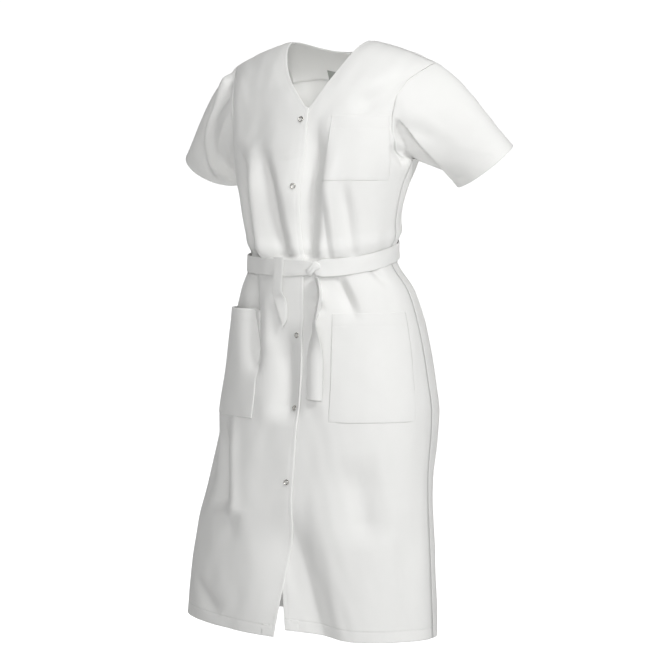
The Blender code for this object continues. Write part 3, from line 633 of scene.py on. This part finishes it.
def back_grid():
    level, rise = panel_rows()
    end_height = np.where(rise > 0, mix(CHEST_POCKET_TOP, -SHOULDER_DROP, rise), level)
    half_width = girth(end_height)[..., 1]
    end = np.where(end_height > UNDERARM, along_table(ARMHOLE, end_height, "back"), half_width)
    share = np.concatenate([np.linspace(0, 0.965, BACK_HALF - 4), [0.977, 0.986, 0.993, 0.997, 1.0]])
    level_end = along_table(ARMHOLE, CHEST_POCKET_TOP, "back")
    widest = math.radians(angle_at(np.array(level_end), np.array(CHEST_POCKET_TOP)))
    level_out = level_end * np.sin(widest * share) / math.sin(widest)
    to_neck = np.clip(share / NECK_SHARE, 0, 1)
    beyond = np.clip((share - NECK_SHARE) / (1 - NECK_SHARE), 0, 1)
    top_out = NECK_HALF * to_neck + (SHOULDER_HALF - NECK_HALF) * beyond
    top = -BACK_NECK_DROP * (1 - to_neck**2) - SHOULDER_DROP * beyond**SHOULDER_BOW
    out = mix(level_out[None], top_out[None], rise[:, None])
    out[:, -1] = end
    above = rise[:, None] > 0
    height = np.where(above, mix(CHEST_POCKET_TOP, top[None], rise[:, None]), end_height[:, None])
    turn = np.where(above, angle_at(out, height), angle_at(end, end_height)[:, None] * share[None])
    left, right = cloth_at(180 - turn, height), cloth_at(180 + turn, height)
    return np.concatenate([left[:, ::-1], right[:, 1:]], axis=1)


back_base = back_grid()
depth = tucked(from_edge(back_base, "start"), SIDE_TUCK) + tucked(from_edge(back_base, "end"), SIDE_TUCK)
over_shoulder = np.abs(back_base[..., 0]) > NECK_HALF
depth += tucked(from_edge(back_base, "top")) * over_shoulder
depth += sewn(from_edge(back_base, "bottom"), along_edge(back_base, "bottom"), HEM_STITCH, 0.0006)
neck_sewn = sewn(from_edge(back_base, "top"), along_edge(back_base, "top"), EDGE_STITCH, 0.0003)
depth += neck_sewn * ~over_shoulder
from_sides = np.minimum(from_edge(back_base, "start"), from_edge(back_base, "end"))
waved = mix(back_base, crumpled(back_base, 0.0005, 11), ease(from_sides / 0.03)[..., None])
back_cloth = turned(relieved(waved, depth), "bottom", HEM_TURN)
back_piece = walled(shown("back_cloth", cloth_mesh("back_cloth", back_cloth), white_cloth), CLOTH)
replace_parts(back_piece, "back")
stitched("back_hem_stitches", *at_distance(back_base, "bottom", HEM_STITCH), white_thread)
neck_run = slice(BACK_HALF - round(BACK_HALF * NECK_SHARE), BACK_HALF + round(BACK_HALF * NECK_SHARE) + 1)
spots, ways = at_distance(back_base, "top", EDGE_STITCH)
stitched("back_neck_stitches", spots[neck_run], ways[neck_run], white_thread)

# The two sleeves, each cut flat and joined under the arm into a tube. They are set into the armholes,
# so they start from the panels' own edges, and they end in a turned and stitched cuff hem.
Cuff = namedtuple("Cuff", "centre long short")
CUFFS = {
    1: Cuff((0.265, 0.063, -0.219), (0.052, 0.0, 0.034), (0.012, -0.042, -0.015)),
    -1: Cuff((-0.276, 0.063, -0.225), (-0.055, 0.0, 0.0292), (-0.012, -0.042, -0.015)),
}
CUFF_WAY = (0.60, 0.32, -0.73)
ROUND_SLEEVE, ALONG_SLEEVE = 128, 56

# Folds of a sleeve: how far round from the underarm up the front, in degrees, and how far along from
# the armhole, at each end.
SleeveFold = namedtuple("SleeveFold", "turn start end_turn end width depth lean")
SLEEVE_FOLDS = {
    1: (
        SleeveFold(74, 0.0, 14, 0.90, 0.012, 0.006, 0.0),
        SleeveFold(72, 0.0, 92, 0.6, 0.014, 0.004, 0.0),
        SleeveFold(330, 0.0, 322, 0.8, 0.015, 0.008, 0.0),
        SleeveFold(236, 0.05, 250, 0.9, 0.022, 0.004, 0.0),
    ),
    -1: (
        SleeveFold(150, 0.0, 34, 1.00, 0.017, -0.016, 0.7),
        SleeveFold(172, 0.05, 64, 1.00, 0.015, 0.014, 0.3),
        SleeveFold(126, 0.0, 110, 0.95, 0.018, 0.011, 0.0),
        SleeveFold(330, 0.0, 322, 0.8, 0.015, 0.005, 0.0),
        SleeveFold(240, 0.05, 252, 0.9, 0.022, 0.004, 0.0),
    ),
}


def armhole_edge(grid, edge):
    """An armhole's points up one panel, from the underarm, and the outward directions there."""
    level = panel_rows()[0]
    rows = slice(int(np.argmin(np.abs(np.nan_to_num(level, nan=1.0) - UNDERARM))), None)
    column = 0 if edge == "start" else -1
    return grid[rows, column], facing_out(grid)[rows, column]


def sleeve_grid(side, front, back):
    """Rows from the cuff up to the armhole, each closed round the arm."""
    front_edge, front_way = armhole_edge(front, SIDE_EDGE[side])
    back_edge, back_way = armhole_edge(back, "start" if side > 0 else "end")
    ring = np.concatenate([front_edge, back_edge[-2::-1]])
    way = np.concatenate([front_way, back_way[-2::-1]])
    run = lengths(ring[None])[0]
    share = np.linspace(0, 1, ROUND_SLEEVE + 1)
    root = np.stack([np.interp(share * run[-1], run, ring[:, axis]) for axis in range(3)], axis=1)
    way = unit(np.stack([np.interp(share * run[-1], run, way[:, axis]) for axis in range(3)], axis=1))
    root[-1], way[-1] = root[0], way[0]
    turn = 2 * np.pi * share
    top = 0.5 - 0.5 * np.cos(turn)
    leave = np.stack([side * mix(0.72, 0.86, top), mix(0.30, 0.08, top), mix(-0.38, -0.50, top)], axis=1)
    cuff = CUFFS[side]
    end = np.array(cuff.centre) - np.outer(np.cos(turn), cuff.long) + np.outer(np.sin(turn), cuff.short)
    crease = np.maximum(0.0, np.sum(leave * way, axis=1))
    start = root + leave * (0.0004 + 0.0022 * crease)[:, None]
    reach = np.linalg.norm(end - start, axis=1)[:, None]
    arrive = np.array([side * CUFF_WAY[0], CUFF_WAY[1], CUFF_WAY[2]])
    at_cuff = np.array([0, 2, 5, 9, 13, 16, 18, 19, 20, 21, 22, 25]) / 160
    to_seam = np.linspace(at_cuff[-1], 0.97, ALONG_SLEEVE)[1:]
    to_root = np.concatenate([to_seam, [0.982, 0.990, 0.996, 1.0]])
    rows = []
    for along in 1 - np.concatenate([at_cuff, to_root]):
        rows.append(hermite(start, leave * reach, end, arrive * reach, along))
    grid = np.stack(rows)
    return grid if side > 0 else grid[:, ::-1]


def sleeve_fold_depth(grid, side):
    share = np.linspace(0, 1, grid.shape[1])
    turn = 360 * (share if side > 0 else share[::-1])[None, :]
    run = from_edge(grid, "top")
    along = run / np.maximum(run[:1], 1e-9)
    pressed = np.zeros(grid.shape[:2])
    for fold in SLEEVE_FOLDS[side]:
        there = np.clip((along - fold.start) / (fold.end - fold.start), 0, 1)
        centre = mix(fold.turn, fold.end_turn, there)
        off = np.radians((turn - centre + 180) % 360 - 180) * 0.067
        reach = fold.width * np.where(off > 0, 1 + 0.6 * fold.lean, 1 - 0.6 * fold.lean)
        ends = ease((along - fold.start) / 0.12 + 0.4) * ease((fold.end - along) / 0.3)
        pressed += fold.depth * ends * np.exp(-np.abs(off / reach) ** 1.9)
    return pressed * ease(run / 0.020)


# How far the cloth under each arm falls back from the crease along the sleeve's front.
UNDERSIDE = {1: 0.036, -1: 0.024}
UnderLine = namedtuple("UnderLine", "at_armhole at_cuff")
UNDER_LINES = {1: UnderLine(84, 20), -1: UnderLine(92, 50)}


def fallen_back(grid, side):
    share = np.linspace(0, 1, grid.shape[1])
    turn = (360 * (share if side > 0 else share[::-1])[None, :] + 180) % 360 - 180
    run = from_edge(grid, "top")
    along = run / np.maximum(run[:1], 1e-9)
    line = mix(UNDER_LINES[side].at_armhole, UNDER_LINES[side].at_cuff, along)
    below = np.clip(np.where(turn > 0, 1 - turn / line, 1 + turn / 70), 0, 1)
    steep = (1 - np.exp(-3 * below)) / (1 - math.exp(-3))
    back = steep * ease(run / 0.010) * ease((1 - along) / 0.35) * UNDERSIDE[side]
    return grid + np.array([0, 1.0, 0]) * back[..., None]


for name, side, base in (("right", -1, right_base), ("left", 1, left_base)):
    grid = fallen_back(sleeve_grid(side, base, back_base), side)
    depth = sleeve_fold_depth(grid, side)
    depth += tucked(from_edge(grid, "top"), 0.0012)
    depth += sewn(from_edge(grid, "bottom"), along_edge(grid, "bottom"), HEM_STITCH, 0.0005, seed=side)
    grid = relieved(crumpled(grid, 0.0003, 21 + side), depth)
    grid[:, -1] = grid[:, 0]
    flat_cuff = grid
    grid = turned(grid, "bottom", HEM_TURN)
    grid[:, -1] = grid[:, 0]
    mesh = cloth_mesh(f"sleeve_{name}_cloth", grid, closed=True)
    piece = shown(f"sleeve_{name}_cloth", mesh, white_cloth)
    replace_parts(walled(piece, CLOTH), f"sleeve_{name}")
    stitched(f"sleeve_{name}_hem_stitches", *at_distance(flat_cuff, "bottom", HEM_STITCH), white_thread)

# Three patch pockets: one on the left breast and one on each hip. Each has its edges turned under and
# stitched down close to the edge, and a deeper hem across its mouth. The right hip pocket's mouth gapes.
POCKET_OFF = 0.0012  # from the front's inner face to the pocket's
POCKET_CLOTH = 0.0007
POCKET_HEM = 0.024
POCKET_STITCH, POCKET_HEM_STITCH = 0.0022, POCKET_HEM - 0.002
HIP_POCKET_GAPE = 0.016


def pocket_grid(side, bottom, top, gape=0.0):
    """Points of a pocket, moved out from the front that it is sewn to."""
    edge = np.array([0, 0.8, 1.8, 3.2, 5]) / 150
    over = np.concatenate([edge, np.linspace(edge[-1], 1 - edge[-1], 40)[1:-1], 1 - edge[::-1]])
    mouth = np.array([0, 2, 5, 10, 15, 19, 21, 22, 23, 24, 25, 27]) / 1000 / (top - bottom)
    up = np.concatenate([edge, np.linspace(edge[-1], 1 - mouth[-1], 40)[1:-1], 1 - mouth[::-1]])
    height = mix(bottom, top, up)[:, None] + 0 * over[None]
    inner, outer = pocket_lines(side, height)
    # The front spaces its columns by the same two lines, so a pocket keeps to the cloth beneath it.
    points = front_at(side, mix(inner, outer, over[None]), height)
    points = points if side > 0 else points[:, ::-1]
    opened = gape * up[:, None] ** 1.5 * np.sin(np.pi * over[None]) ** 0.8
    return points + facing_out(points) * (POCKET_OFF + opened)[..., None]


for name, side, bottom, top, gape in (
    ("chest_pocket", 1, CHEST_POCKET_BOTTOM, CHEST_POCKET_TOP, 0.0),
    ("hip_pocket_left", 1, HIP_POCKET_BOTTOM, HIP_POCKET_TOP, 0.0),
    ("hip_pocket_right", -1, HIP_POCKET_BOTTOM, HIP_POCKET_TOP, HIP_POCKET_GAPE),
):
    grid = pocket_grid(side, bottom, top, gape)
    depth = np.zeros(grid.shape[:2])
    for edge in ("start", "end", "bottom"):
        run = from_edge(grid, edge)
        pull = sewn(run, along_edge(grid, edge), POCKET_STITCH, 0.00025, seed=side)
        depth += tucked(run, 0.0007) + pull * 0.6
    depth += sewn(from_edge(grid, "top"), along_edge(grid, "top"), POCKET_HEM_STITCH, 0.0002, seed=1.0)
    grid = relieved(crumpled(grid, 0.0003, 31 + len(name)), depth)
    points = turned(grid, "top", POCKET_HEM, 0.0005)
    piece = shown(f"{name}_cloth", cloth_mesh(f"{name}_cloth", points), white_cloth)
    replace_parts(walled(piece, POCKET_CLOTH), name)
    for edge in ("start", "end", "bottom"):
        spots, ways = at_distance(grid, edge, POCKET_STITCH)
        stitched(f"{name}_{edge}_stitches", spots, ways, white_thread, POCKET_CLOTH)
    spots, ways = at_distance(grid, "top", POCKET_HEM_STITCH)
    stitched(f"{name}_hem_stitches", spots, ways, white_thread, POCKET_CLOTH)

# The facing that finishes the back neck inside, and the woven label sewn to it. The label is grey ribbon
# with a finer thread than the cloth, and bare.
FACING_FROM, FACING_SHARE = 0.49, 8 / 12  # how low it reaches, and how far out over the back
LABEL_TO, LABEL_COLUMNS = 0.69, (-5, 22)
FACING_IN, LABEL_IN = 0.0012, 0.0024  # how far each lies inside the back
facing_rows = panel_rows()[1] >= FACING_FROM
reach = round(BACK_HALF * FACING_SHARE)
facing_grid = back_base[facing_rows][:, BACK_HALF - reach:BACK_HALF + reach + 1]
facing_grid = facing_grid - facing_out(facing_grid) * FACING_IN
facing_piece = shown("neck_facing_cloth", cloth_mesh("neck_facing_cloth", facing_grid), white_cloth)
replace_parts(walled(facing_piece, 0.0007, -1.0), "neck_facing")
label_rows = facing_rows & (panel_rows()[1] <= LABEL_TO)
label_grid = back_base[label_rows][:, BACK_HALF + LABEL_COLUMNS[0]:BACK_HALF + LABEL_COLUMNS[1]]
label_grid = label_grid - facing_out(label_grid) * LABEL_IN
label_cloth = poly_cotton("grey_woven_label_ribbon", "A6A9A4", "9EA19C", 0.0006)
label_piece = shown("neck_label_cloth", cloth_mesh("neck_label_cloth", label_grid), label_cloth)
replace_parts(walled(label_piece, 0.0005, -1.0), "neck_label")

# The tie belt: a strip of the same cloth, doubled and stitched along both edges. It goes round the
# waist, is knotted once at the front, and its two ends hang down.
BELT_THICK = 0.0018
KNOT_ANGLE = 12.5
SECTION = 28  # points round a strip's cross-section
FULL_EDGE, FULL_FACE = 0.45, 0.6  # below 1 a section's edges and faces are fuller than an oval's


def strip_grid(middle, across, out, half, thick):
    """A doubled strip along a line: its section is a flat oval with full edges, closed round."""
    turn = np.linspace(0, 2 * np.pi, SECTION + 1)
    wide = np.sign(np.cos(turn)) * np.abs(np.cos(turn)) ** FULL_EDGE
    deep = np.sign(np.sin(turn)) * np.abs(np.sin(turn)) ** FULL_FACE
    stitch = 1 - 0.30 * np.exp(-(((np.abs(wide) - 0.82) / 0.07) ** 2))
    wide, deep = wide[None, :, None], (deep * stitch)[None, :, None]
    half, thick = np.asarray(half)[:, None, None], np.asarray(thick)[:, None, None]
    return middle[:, None] + across[:, None] * wide * half + out[:, None] * deep * thick / 2


def over_body(angle, height, off):
    return smooth_body(angle, height) + outward(angle, height) * np.asarray(off)[..., None]


def strip_piece(name, grid, material):
    """A closed strip, with both of its cut ends filled."""
    mesh = cloth_mesh(name, grid, closed=True)
    ends = bmesh.new()
    ends.from_mesh(mesh)
    bmesh.ops.holes_fill(ends, edges=[edge for edge in ends.edges if edge.is_boundary], sides=0)
    bmesh.ops.recalc_face_normals(ends, faces=ends.faces)
    ends.to_mesh(mesh)
    ends.free()
    mesh.shade_smooth()
    return shown(name, mesh, material)


# Places along the band, by angle: how far its middle lies above the belt line, half its width as it
# shows, how far it stands off, and how far it leans out at its lower edge, in degrees.
BandPlace = namedtuple("BandPlace", "angle above half off lean")
BAND = (
    BandPlace(12.8, -0.0010, 0.0080, 0.0066, 0),
    BandPlace(15, -0.0010, 0.0112, 0.0068, 6),
    BandPlace(19, -0.0005, 0.0150, 0.0066, 10),
    BandPlace(32, 0.0, 0.0150, 0.0056, 6),
    BandPlace(60, 0.0, 0.0150, 0.0052, 2),
    BandPlace(120, 0.0, 0.0150, 0.0052, 0),
    BandPlace(180, 0.0, 0.0150, 0.0052, 0),
    BandPlace(250, 0.0, 0.0150, 0.0052, 0),
    BandPlace(300, 0.0, 0.0150, 0.0052, 2),
    BandPlace(345, 0.0, 0.0150, 0.0056, 4),
    BandPlace(360, 0.0, 0.0140, 0.0060, 4),
    BandPlace(368, 0.0, 0.0125, 0.0062, 2),
    BandPlace(372.2, 0.0, 0.0095, 0.0062, 0),
)
BAND_STEPS = 361
places = np.array(BAND)
angle = np.linspace(places[0, 0], places[-1, 0], BAND_STEPS)
above, half, off, lean = (np.interp(angle, places[:, 0], places[:, column]) for column in (1, 2, 3, 4))
out = outward(angle, belt_height(angle))
lean = np.radians(lean)[:, None]
up = np.array([0, 0, 1.0]) * np.cos(lean) - out * np.sin(lean)
band_middle = over_body(angle, belt_height(angle) + above, off)
band_grid = strip_grid(band_middle, up, unit(out * np.cos(lean)), half, np.full(BAND_STEPS, BELT_THICK))
band_grid = crumpled(band_grid, 0.0005, 41, 0.03)
band_grid[:, -1] = band_grid[:, 0]
band_piece = strip_piece("belt_band_cloth", band_grid, white_cloth)
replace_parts(band_piece, "belt_band")


def doubled(grid):
    """Measures a strip's length along its first column, and keeps nothing of it."""
    length = lengths(grid[:, :1].swapaxes(0, 1))[0, -1]


BELT_STITCH = 0.0025


def edge_stitched(name, middle, across, out, half, thick):
    for edge, way in (("upper", 1), ("lower", -1)):
        spots = middle + across * (half - BELT_STITCH)[:, None] * way
        stitched(f"{name}_{edge}_stitches", spots, out, white_thread, 0.35 * thick)


doubled(band_grid)
edge_stitched("belt_band", band_middle, up, unit(out * np.cos(lean)), half, BELT_THICK)

# The knot: the belt's own cloth, wrapped once over the crossing at a slant, and creased where it is
# pulled tight.
KNOT_TILT = math.radians(-48)
KNOT_UP, KNOT_OUT, KNOT_HALF = 0.0135, 0.0036, 0.0072
round_knot = np.linspace(0, 2 * np.pi, 65)[None, :]
over_knot = np.linspace(-1, 1, 25)[:, None]
knot_out = outward(KNOT_ANGLE, np.array(WAIST))
knot_level = np.array([-knot_out[1], knot_out[0], 0.0])
knot_up = np.array([0, 0, 1.0]) * math.cos(KNOT_TILT) - knot_level * math.sin(KNOT_TILT)
knot_along = knot_level * math.cos(KNOT_TILT) + np.array([0, 0, 1.0]) * math.sin(KNOT_TILT)
in_front = np.maximum(np.sin(round_knot), 0)
pinch = 1 - 0.30 * np.abs(over_knot) ** 3
crease = 0.10 * np.sin(5.2 * over_knot + 1.6 * np.cos(round_knot)) * in_front
stands_out = np.where(np.sin(round_knot) > 0, KNOT_OUT, 0.5 * KNOT_OUT)
rise_out = stands_out * np.sin(round_knot) * (pinch + crease)
rise_up = KNOT_UP * np.cos(round_knot) * (pinch + 0.04 * np.sin(4 * over_knot))
slide = KNOT_HALF * over_knot * (0.72 + 0.28 * np.abs(np.cos(round_knot)))
knot_middle = over_body(np.array(KNOT_ANGLE), belt_height(KNOT_ANGLE) - 0.001, np.array(0.0068))
knot_ways = ((rise_out, knot_out), (rise_up, knot_up), (slide, knot_along))
knot_grid = knot_middle + sum(amount[..., None] * way for amount, way in knot_ways)
knot_mesh = cloth_mesh("belt_knot_cloth", knot_grid, closed=True)
knot_piece = walled(shown("belt_knot_cloth", knot_mesh, white_cloth), 0.0009)
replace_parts(knot_piece, "belt_knot")

# The two ends of the belt. The short one lies over the band to the wearer's right and folds down from
# it. The long one turns edge-on under the knot and hangs open below.
TailPoint = namedtuple("TailPoint", "angle height off half_width turn twist")
SHORT_TAIL = (
    TailPoint(-10.6, -0.3775, 0.0086, 0.0108, 0, 4),
    TailPoint(-11.0, -0.3870, 0.0090, 0.0112, 0, 5),
    TailPoint(-10.9, -0.4050, 0.0098, 0.0112, 0, 7),
    TailPoint(-10.5, -0.4250, 0.0112, 0.0112, 1, 9),
    TailPoint(-9.6, -0.4400, 0.0126, 0.0112, 4, 8),
    TailPoint(-8.2, -0.4500, 0.0106, 0.0112, 8, -2),
    TailPoint(-7.0, -0.4620, 0.0096, 0.0102, 12, -8),
    TailPoint(-5.9, -0.4750, 0.0098, 0.0084, 14, -8),
    TailPoint(-5.2, -0.4880, 0.0098, 0.0056, 14, -6),
    TailPoint(-5.4, -0.4985, 0.0096, 0.0010, 14, -4),
)
LONG_TAIL = (
    TailPoint(14.6, -0.4108, 0.0150, 0.0110, 0, 55),
    TailPoint(14.6, -0.4400, 0.0155, 0.0120, 0, 60),
    TailPoint(12.6, -0.4680, 0.0160, 0.0130, 0, 60),
    TailPoint(10.8, -0.4920, 0.0160, 0.0138, 0, 48),
    TailPoint(10.6, -0.5160, 0.0150, 0.0145, 0, 20),
    TailPoint(11.0, -0.5450, 0.0135, 0.0150, 0, -6),
    TailPoint(11.2, -0.5800, 0.0125, 0.0150, 0, -12),
    TailPoint(11.2, -0.6080, 0.0120, 0.0150, 0, -12),
    TailPoint(11.2, -0.6230, 0.0120, 0.0150, 0, -12),
)


def tail_grid(course, slant, creased, count=80):
    """A hanging end of the belt, cut off at a slant, with a side that is bent back along a crease."""
    table = np.array(course)
    run = np.arange(len(course))
    at = np.linspace(0, len(course) - 1, count)
    lower = np.clip(np.floor(at).astype(int), 0, len(course) - 2)
    before, after = table[np.maximum(lower - 1, 0)], table[np.minimum(lower + 2, len(course) - 1)]
    start, end = table[lower], table[lower + 1]
    place = hermite(start, (end - before) / 2, end, (after - start) / 2, (at - lower)[:, None])
    angle, height, off, half, turn, twist = place.T
    out = outward(angle, height)
    level = np.stack([-out[:, 1], out[:, 0], 0 * angle], axis=1)
    turn, twist = np.radians(turn)[:, None], np.radians(twist)[:, None]
    in_face = level * np.cos(turn) + np.array([0, 0, 1.0]) * np.sin(turn)
    across = in_face * np.cos(twist) + out * np.sin(twist)
    face = out * np.cos(twist) - in_face * np.sin(twist)
    middle = over_body(angle, height, off)
    grid = strip_grid(middle, across, face, half, np.full(count, BELT_THICK))
    side = np.cos(np.linspace(0, 2 * np.pi, SECTION + 1))
    past = np.sum((grid - middle[:, None]) * across[:, None], axis=-1) / half[:, None]
    grid = grid - face[:, None] * (creased * half[:, None] * np.maximum(0.0, -0.1 - past))[..., None]
    grid[..., 2] += slant * (run[-1] == np.round(at, 6))[:, None] * side[None]
    return grid, (middle, across, face, half)


for name, course, slant, creased in (("short", SHORT_TAIL, 0.004, 0.0), ("long", LONG_TAIL, -0.002, 0.9)):
    grid, (middle, across, face, half) = tail_grid(course, slant, creased)
    piece = strip_piece(f"belt_tail_{name}_cloth", grid, white_cloth)
    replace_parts(piece, f"belt_tail_{name}")
    doubled(grid)
    edge_stitched(f"belt_tail_{name}", middle[:-4], across[:-4], face[:-4], half[:-4], BELT_THICK)

# The snaps: a ring of pressed steel holds the cloth from outside, and the cloth shows in its middle. The
# ring is nickel-plated and polished, so it shines, with small dulled spots where it is worn.
SNAP_HEIGHTS = (-0.138, -0.2535, -0.513, -0.640, -0.769)
SNAP_ACROSS = 0.003
SNAP_RADIUS, SNAP_WIRE = 0.0050, 0.0011
SNAP_STANDS = 0.0010  # how far the ring's middle stands off the cloth's outer face
nickel = bpy.data.materials.new("nickel_plated_steel_polished")
nickel.use_nodes = True
metal = nickel.node_tree.nodes["Principled BSDF"]
metal.inputs["Metallic"].default_value = 1.0
metal_place = add(nickel, "ShaderNodeTexCoord").outputs["Object"]
wear = {"Scale": 900.0, "Detail": 3.0, "Roughness": 0.6}
worn = add(nickel, "ShaderNodeTexNoise", wear, Vector=metal_place).outputs["Fac"]
nickels = {"data_type": "RGBA", 6: linear("CFCDC8"), 7: linear("BDBBB5")}
plate = add(nickel, "ShaderNodeMix", nickels, in0=worn)
nickel.node_tree.links.new(plate.outputs[2], metal.inputs["Base Color"])
polish = add(nickel, "ShaderNodeMapRange", {"To Min": 0.18, "To Max": 0.32}, Value=worn)
nickel.node_tree.links.new(polish.outputs["Result"], metal.inputs["Roughness"])
panel = front_pieces[-1].evaluated_get(bpy.context.evaluated_depsgraph_get())
for number, height in enumerate(SNAP_HEIGHTS, 1):
    across = float(girth(np.array(height))[4]) + SNAP_ACROSS
    found, seat, normal, _ = panel.ray_cast(Vector((across, -1.0, height)), Vector((0, 1, 0)))
    ring = bmesh.new()
    bmesh.ops.create_circle(ring, segments=16, radius=SNAP_WIRE)
    bmesh.ops.rotate(ring, matrix=Matrix.Rotation(math.pi / 2, 3, "X"), verts=ring.verts)
    bmesh.ops.translate(ring, vec=(SNAP_RADIUS - SNAP_WIRE, 0, 0), verts=ring.verts)
    bmesh.ops.spin(ring, geom=ring.edges[:] + ring.verts[:], cent=(0, 0, 0), axis=(0, 0, 1),
                   angle=2 * math.pi, steps=48, use_merge=True)
    bmesh.ops.recalc_face_normals(ring, faces=ring.faces)
    facing = normal.to_track_quat("Z", "Y").to_matrix().to_4x4()
    place = Matrix.Translation(seat + normal * SNAP_STANDS) @ facing
    bmesh.ops.transform(ring, matrix=place, verts=ring.verts)
    mesh = bpy.data.meshes.new(f"snap_{number}_ring")
    ring.to_mesh(mesh)
    ring.free()
    mesh.shade_smooth()
    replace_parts(shown(f"snap_{number}_ring", mesh, nickel), f"snap_{number}")

# A plain pale floor of opal acrylic, soft studio light, and the camera in front of the smock's left side.
# The room and the floor look white from every side. As lights they are strong only far behind the smock
# and dim elsewhere, so that its folds show.
VIEW_TURN = math.radians(27)
BEHIND = (-math.sin(VIEW_TURN), math.cos(VIEW_TURN), 0.0)
WHITE, DIM = 1.06, 0.12
FLOOR_GLOW, ROOM_GLOW = (0.7, 1.35), (0.955, 0.977)  # where each turns white, by place and by direction
FLOOR_HEIGHT, FLOOR_HALF = -1.45, 200.0


def white_behind(tree, place, near, far, dim, white):
    """A strength that grows towards the back, for the world by direction and for the floor by place."""
    ahead = tree.nodes.new("ShaderNodeVectorMath")
    ahead.operation = "DOT_PRODUCT"
    ahead.inputs[1].default_value = BEHIND
    tree.links.new(tree.nodes.new("ShaderNodeTexCoord").outputs[place], ahead.inputs[0])
    fade = tree.nodes.new("ShaderNodeMapRange")
    fade.interpolation_type = "SMOOTHSTEP"
    for socket, value in (("From Min", near), ("From Max", far), ("To Min", dim), ("To Max", white)):
        fade.inputs[socket].default_value = value
    tree.links.new(ahead.outputs["Value"], fade.inputs["Value"])
    return fade.outputs["Result"]


floor_mesh = bmesh.new()
bmesh.ops.create_grid(floor_mesh, x_segments=1, y_segments=1, size=FLOOR_HALF)
mesh = bpy.data.meshes.new("floor")
floor_mesh.to_mesh(mesh)
floor_mesh.free()
floor = bpy.data.objects.new("floor", mesh)
floor.location = (0, 0, FLOOR_HEIGHT)
bpy.context.scene.collection.objects.link(floor)
pale = bpy.data.materials.new("white_acrylic_light_table")
pale.use_nodes = True
surface = pale.node_tree.nodes["Principled BSDF"]
floor_place = add(pale, "ShaderNodeTexCoord").outputs["Object"]
grain = add(pale, "ShaderNodeTexNoise", {"Scale": 40.0, "Detail": 3.0}, Vector=floor_place).outputs["Fac"]
opals = {"data_type": "RGBA", 6: linear("F6F6F6"), 7: linear("F1F1F1")}
sheet = add(pale, "ShaderNodeMix", opals, in0=grain)
pale.node_tree.links.new(sheet.outputs[2], surface.inputs["Base Color"])
surface_matt = add(pale, "ShaderNodeMapRange", {"To Min": 0.64, "To Max": 0.76}, Value=grain)
pale.node_tree.links.new(surface_matt.outputs["Result"], surface.inputs["Roughness"])
surface.inputs["Emission Color"].default_value = (1, 1, 1, 1)
glow = white_behind(pale.node_tree, "Object", *FLOOR_GLOW, 0.0, WHITE)
away = add(pale, "ShaderNodeVectorMath", {"operation": "LENGTH"}, in0=floor_place).outputs["Value"]
ring_of_light = {"From Min": 2.0, "From Max": 4.5, "To Max": 0.32}
around = add(pale, "ShaderNodeMapRange", ring_of_light, Value=away).outputs["Result"]
both = add(pale, "ShaderNodeMath", {"operation": "MAXIMUM"}, in0=glow, in1=around).outputs["Value"]
looked_at = add(pale, "ShaderNodeLightPath").outputs["Is Camera Ray"]
plain = add(pale, "ShaderNodeMath", {"operation": "MAXIMUM"}, in0=both, in1=looked_at).outputs["Value"]
pale.node_tree.links.new(plain, surface.inputs["Emission Strength"])
mesh.materials.append(pale)

world = bpy.data.worlds.new("studio")
world.use_nodes = True
room = world.node_tree
room.nodes["Background"].inputs["Color"].default_value = (1, 1, 1, 1)
seen = room.nodes.new("ShaderNodeMath")
seen.operation = "MAXIMUM"
room.links.new(white_behind(room, "Generated", *ROOM_GLOW, DIM, WHITE), seen.inputs[0])
room.links.new(room.nodes.new("ShaderNodeLightPath").outputs["Is Camera Ray"], seen.inputs[1])
room.links.new(seen.outputs["Value"], room.nodes["Background"].inputs["Strength"])
bpy.context.scene.world = world
bpy.context.scene.view_settings.view_transform = "Standard"


def soft_light(name, place, aim, size, power):
    lamp = bpy.data.lights.new(name, "AREA")
    lamp.shape, lamp.size, lamp.energy = "DISK", size, power
    light = bpy.data.objects.new(name, lamp)
    light.location = place
    light.rotation_euler = (Vector(aim) - Vector(place)).to_track_quat("-Z", "Y").to_euler()
    bpy.context.scene.collection.objects.link(light)
    return light


LIT_MIDDLE = (0, 0, -0.5)
soft_light("front_light", (1.88, -4.03, 0.69), LIT_MIDDLE, 1.1, 67)
soft_light("top_light", (0.10, -1.30, 3.94), LIT_MIDDLE, 1.1, 44)
soft_light("side_light", (3.44, -1.52, 2.05), LIT_MIDDLE, 1.0, 86)
soft_light("neck_light", (0, -0.01, -0.36), (0, 0.03, 0.0), 0.14, 0.20).visible_camera = False

SENSOR = 36.0
PHOTO_WIDTH, FOCAL_PIXELS = 668, 2520
CAMERA_AWAY, CAMERA_HEIGHT, AIM_HEIGHT = 4.5, -0.17, -0.5205
camera = bpy.data.objects.new("camera", bpy.data.cameras.new("camera"))
camera.data.sensor_width = SENSOR
camera.data.lens = FOCAL_PIXELS / PHOTO_WIDTH * SENSOR
camera.data.clip_end = 500.0
view_from = Vector((CAMERA_AWAY * math.sin(VIEW_TURN), -CAMERA_AWAY * math.cos(VIEW_TURN), CAMERA_HEIGHT))
camera.location = view_from
camera.rotation_euler = (Vector((0, 0, AIM_HEIGHT)) - view_from).to_track_quat("-Z", "Y").to_euler()
bpy.context.scene.collection.objects.link(camera)
bpy.context.scene.camera = camera
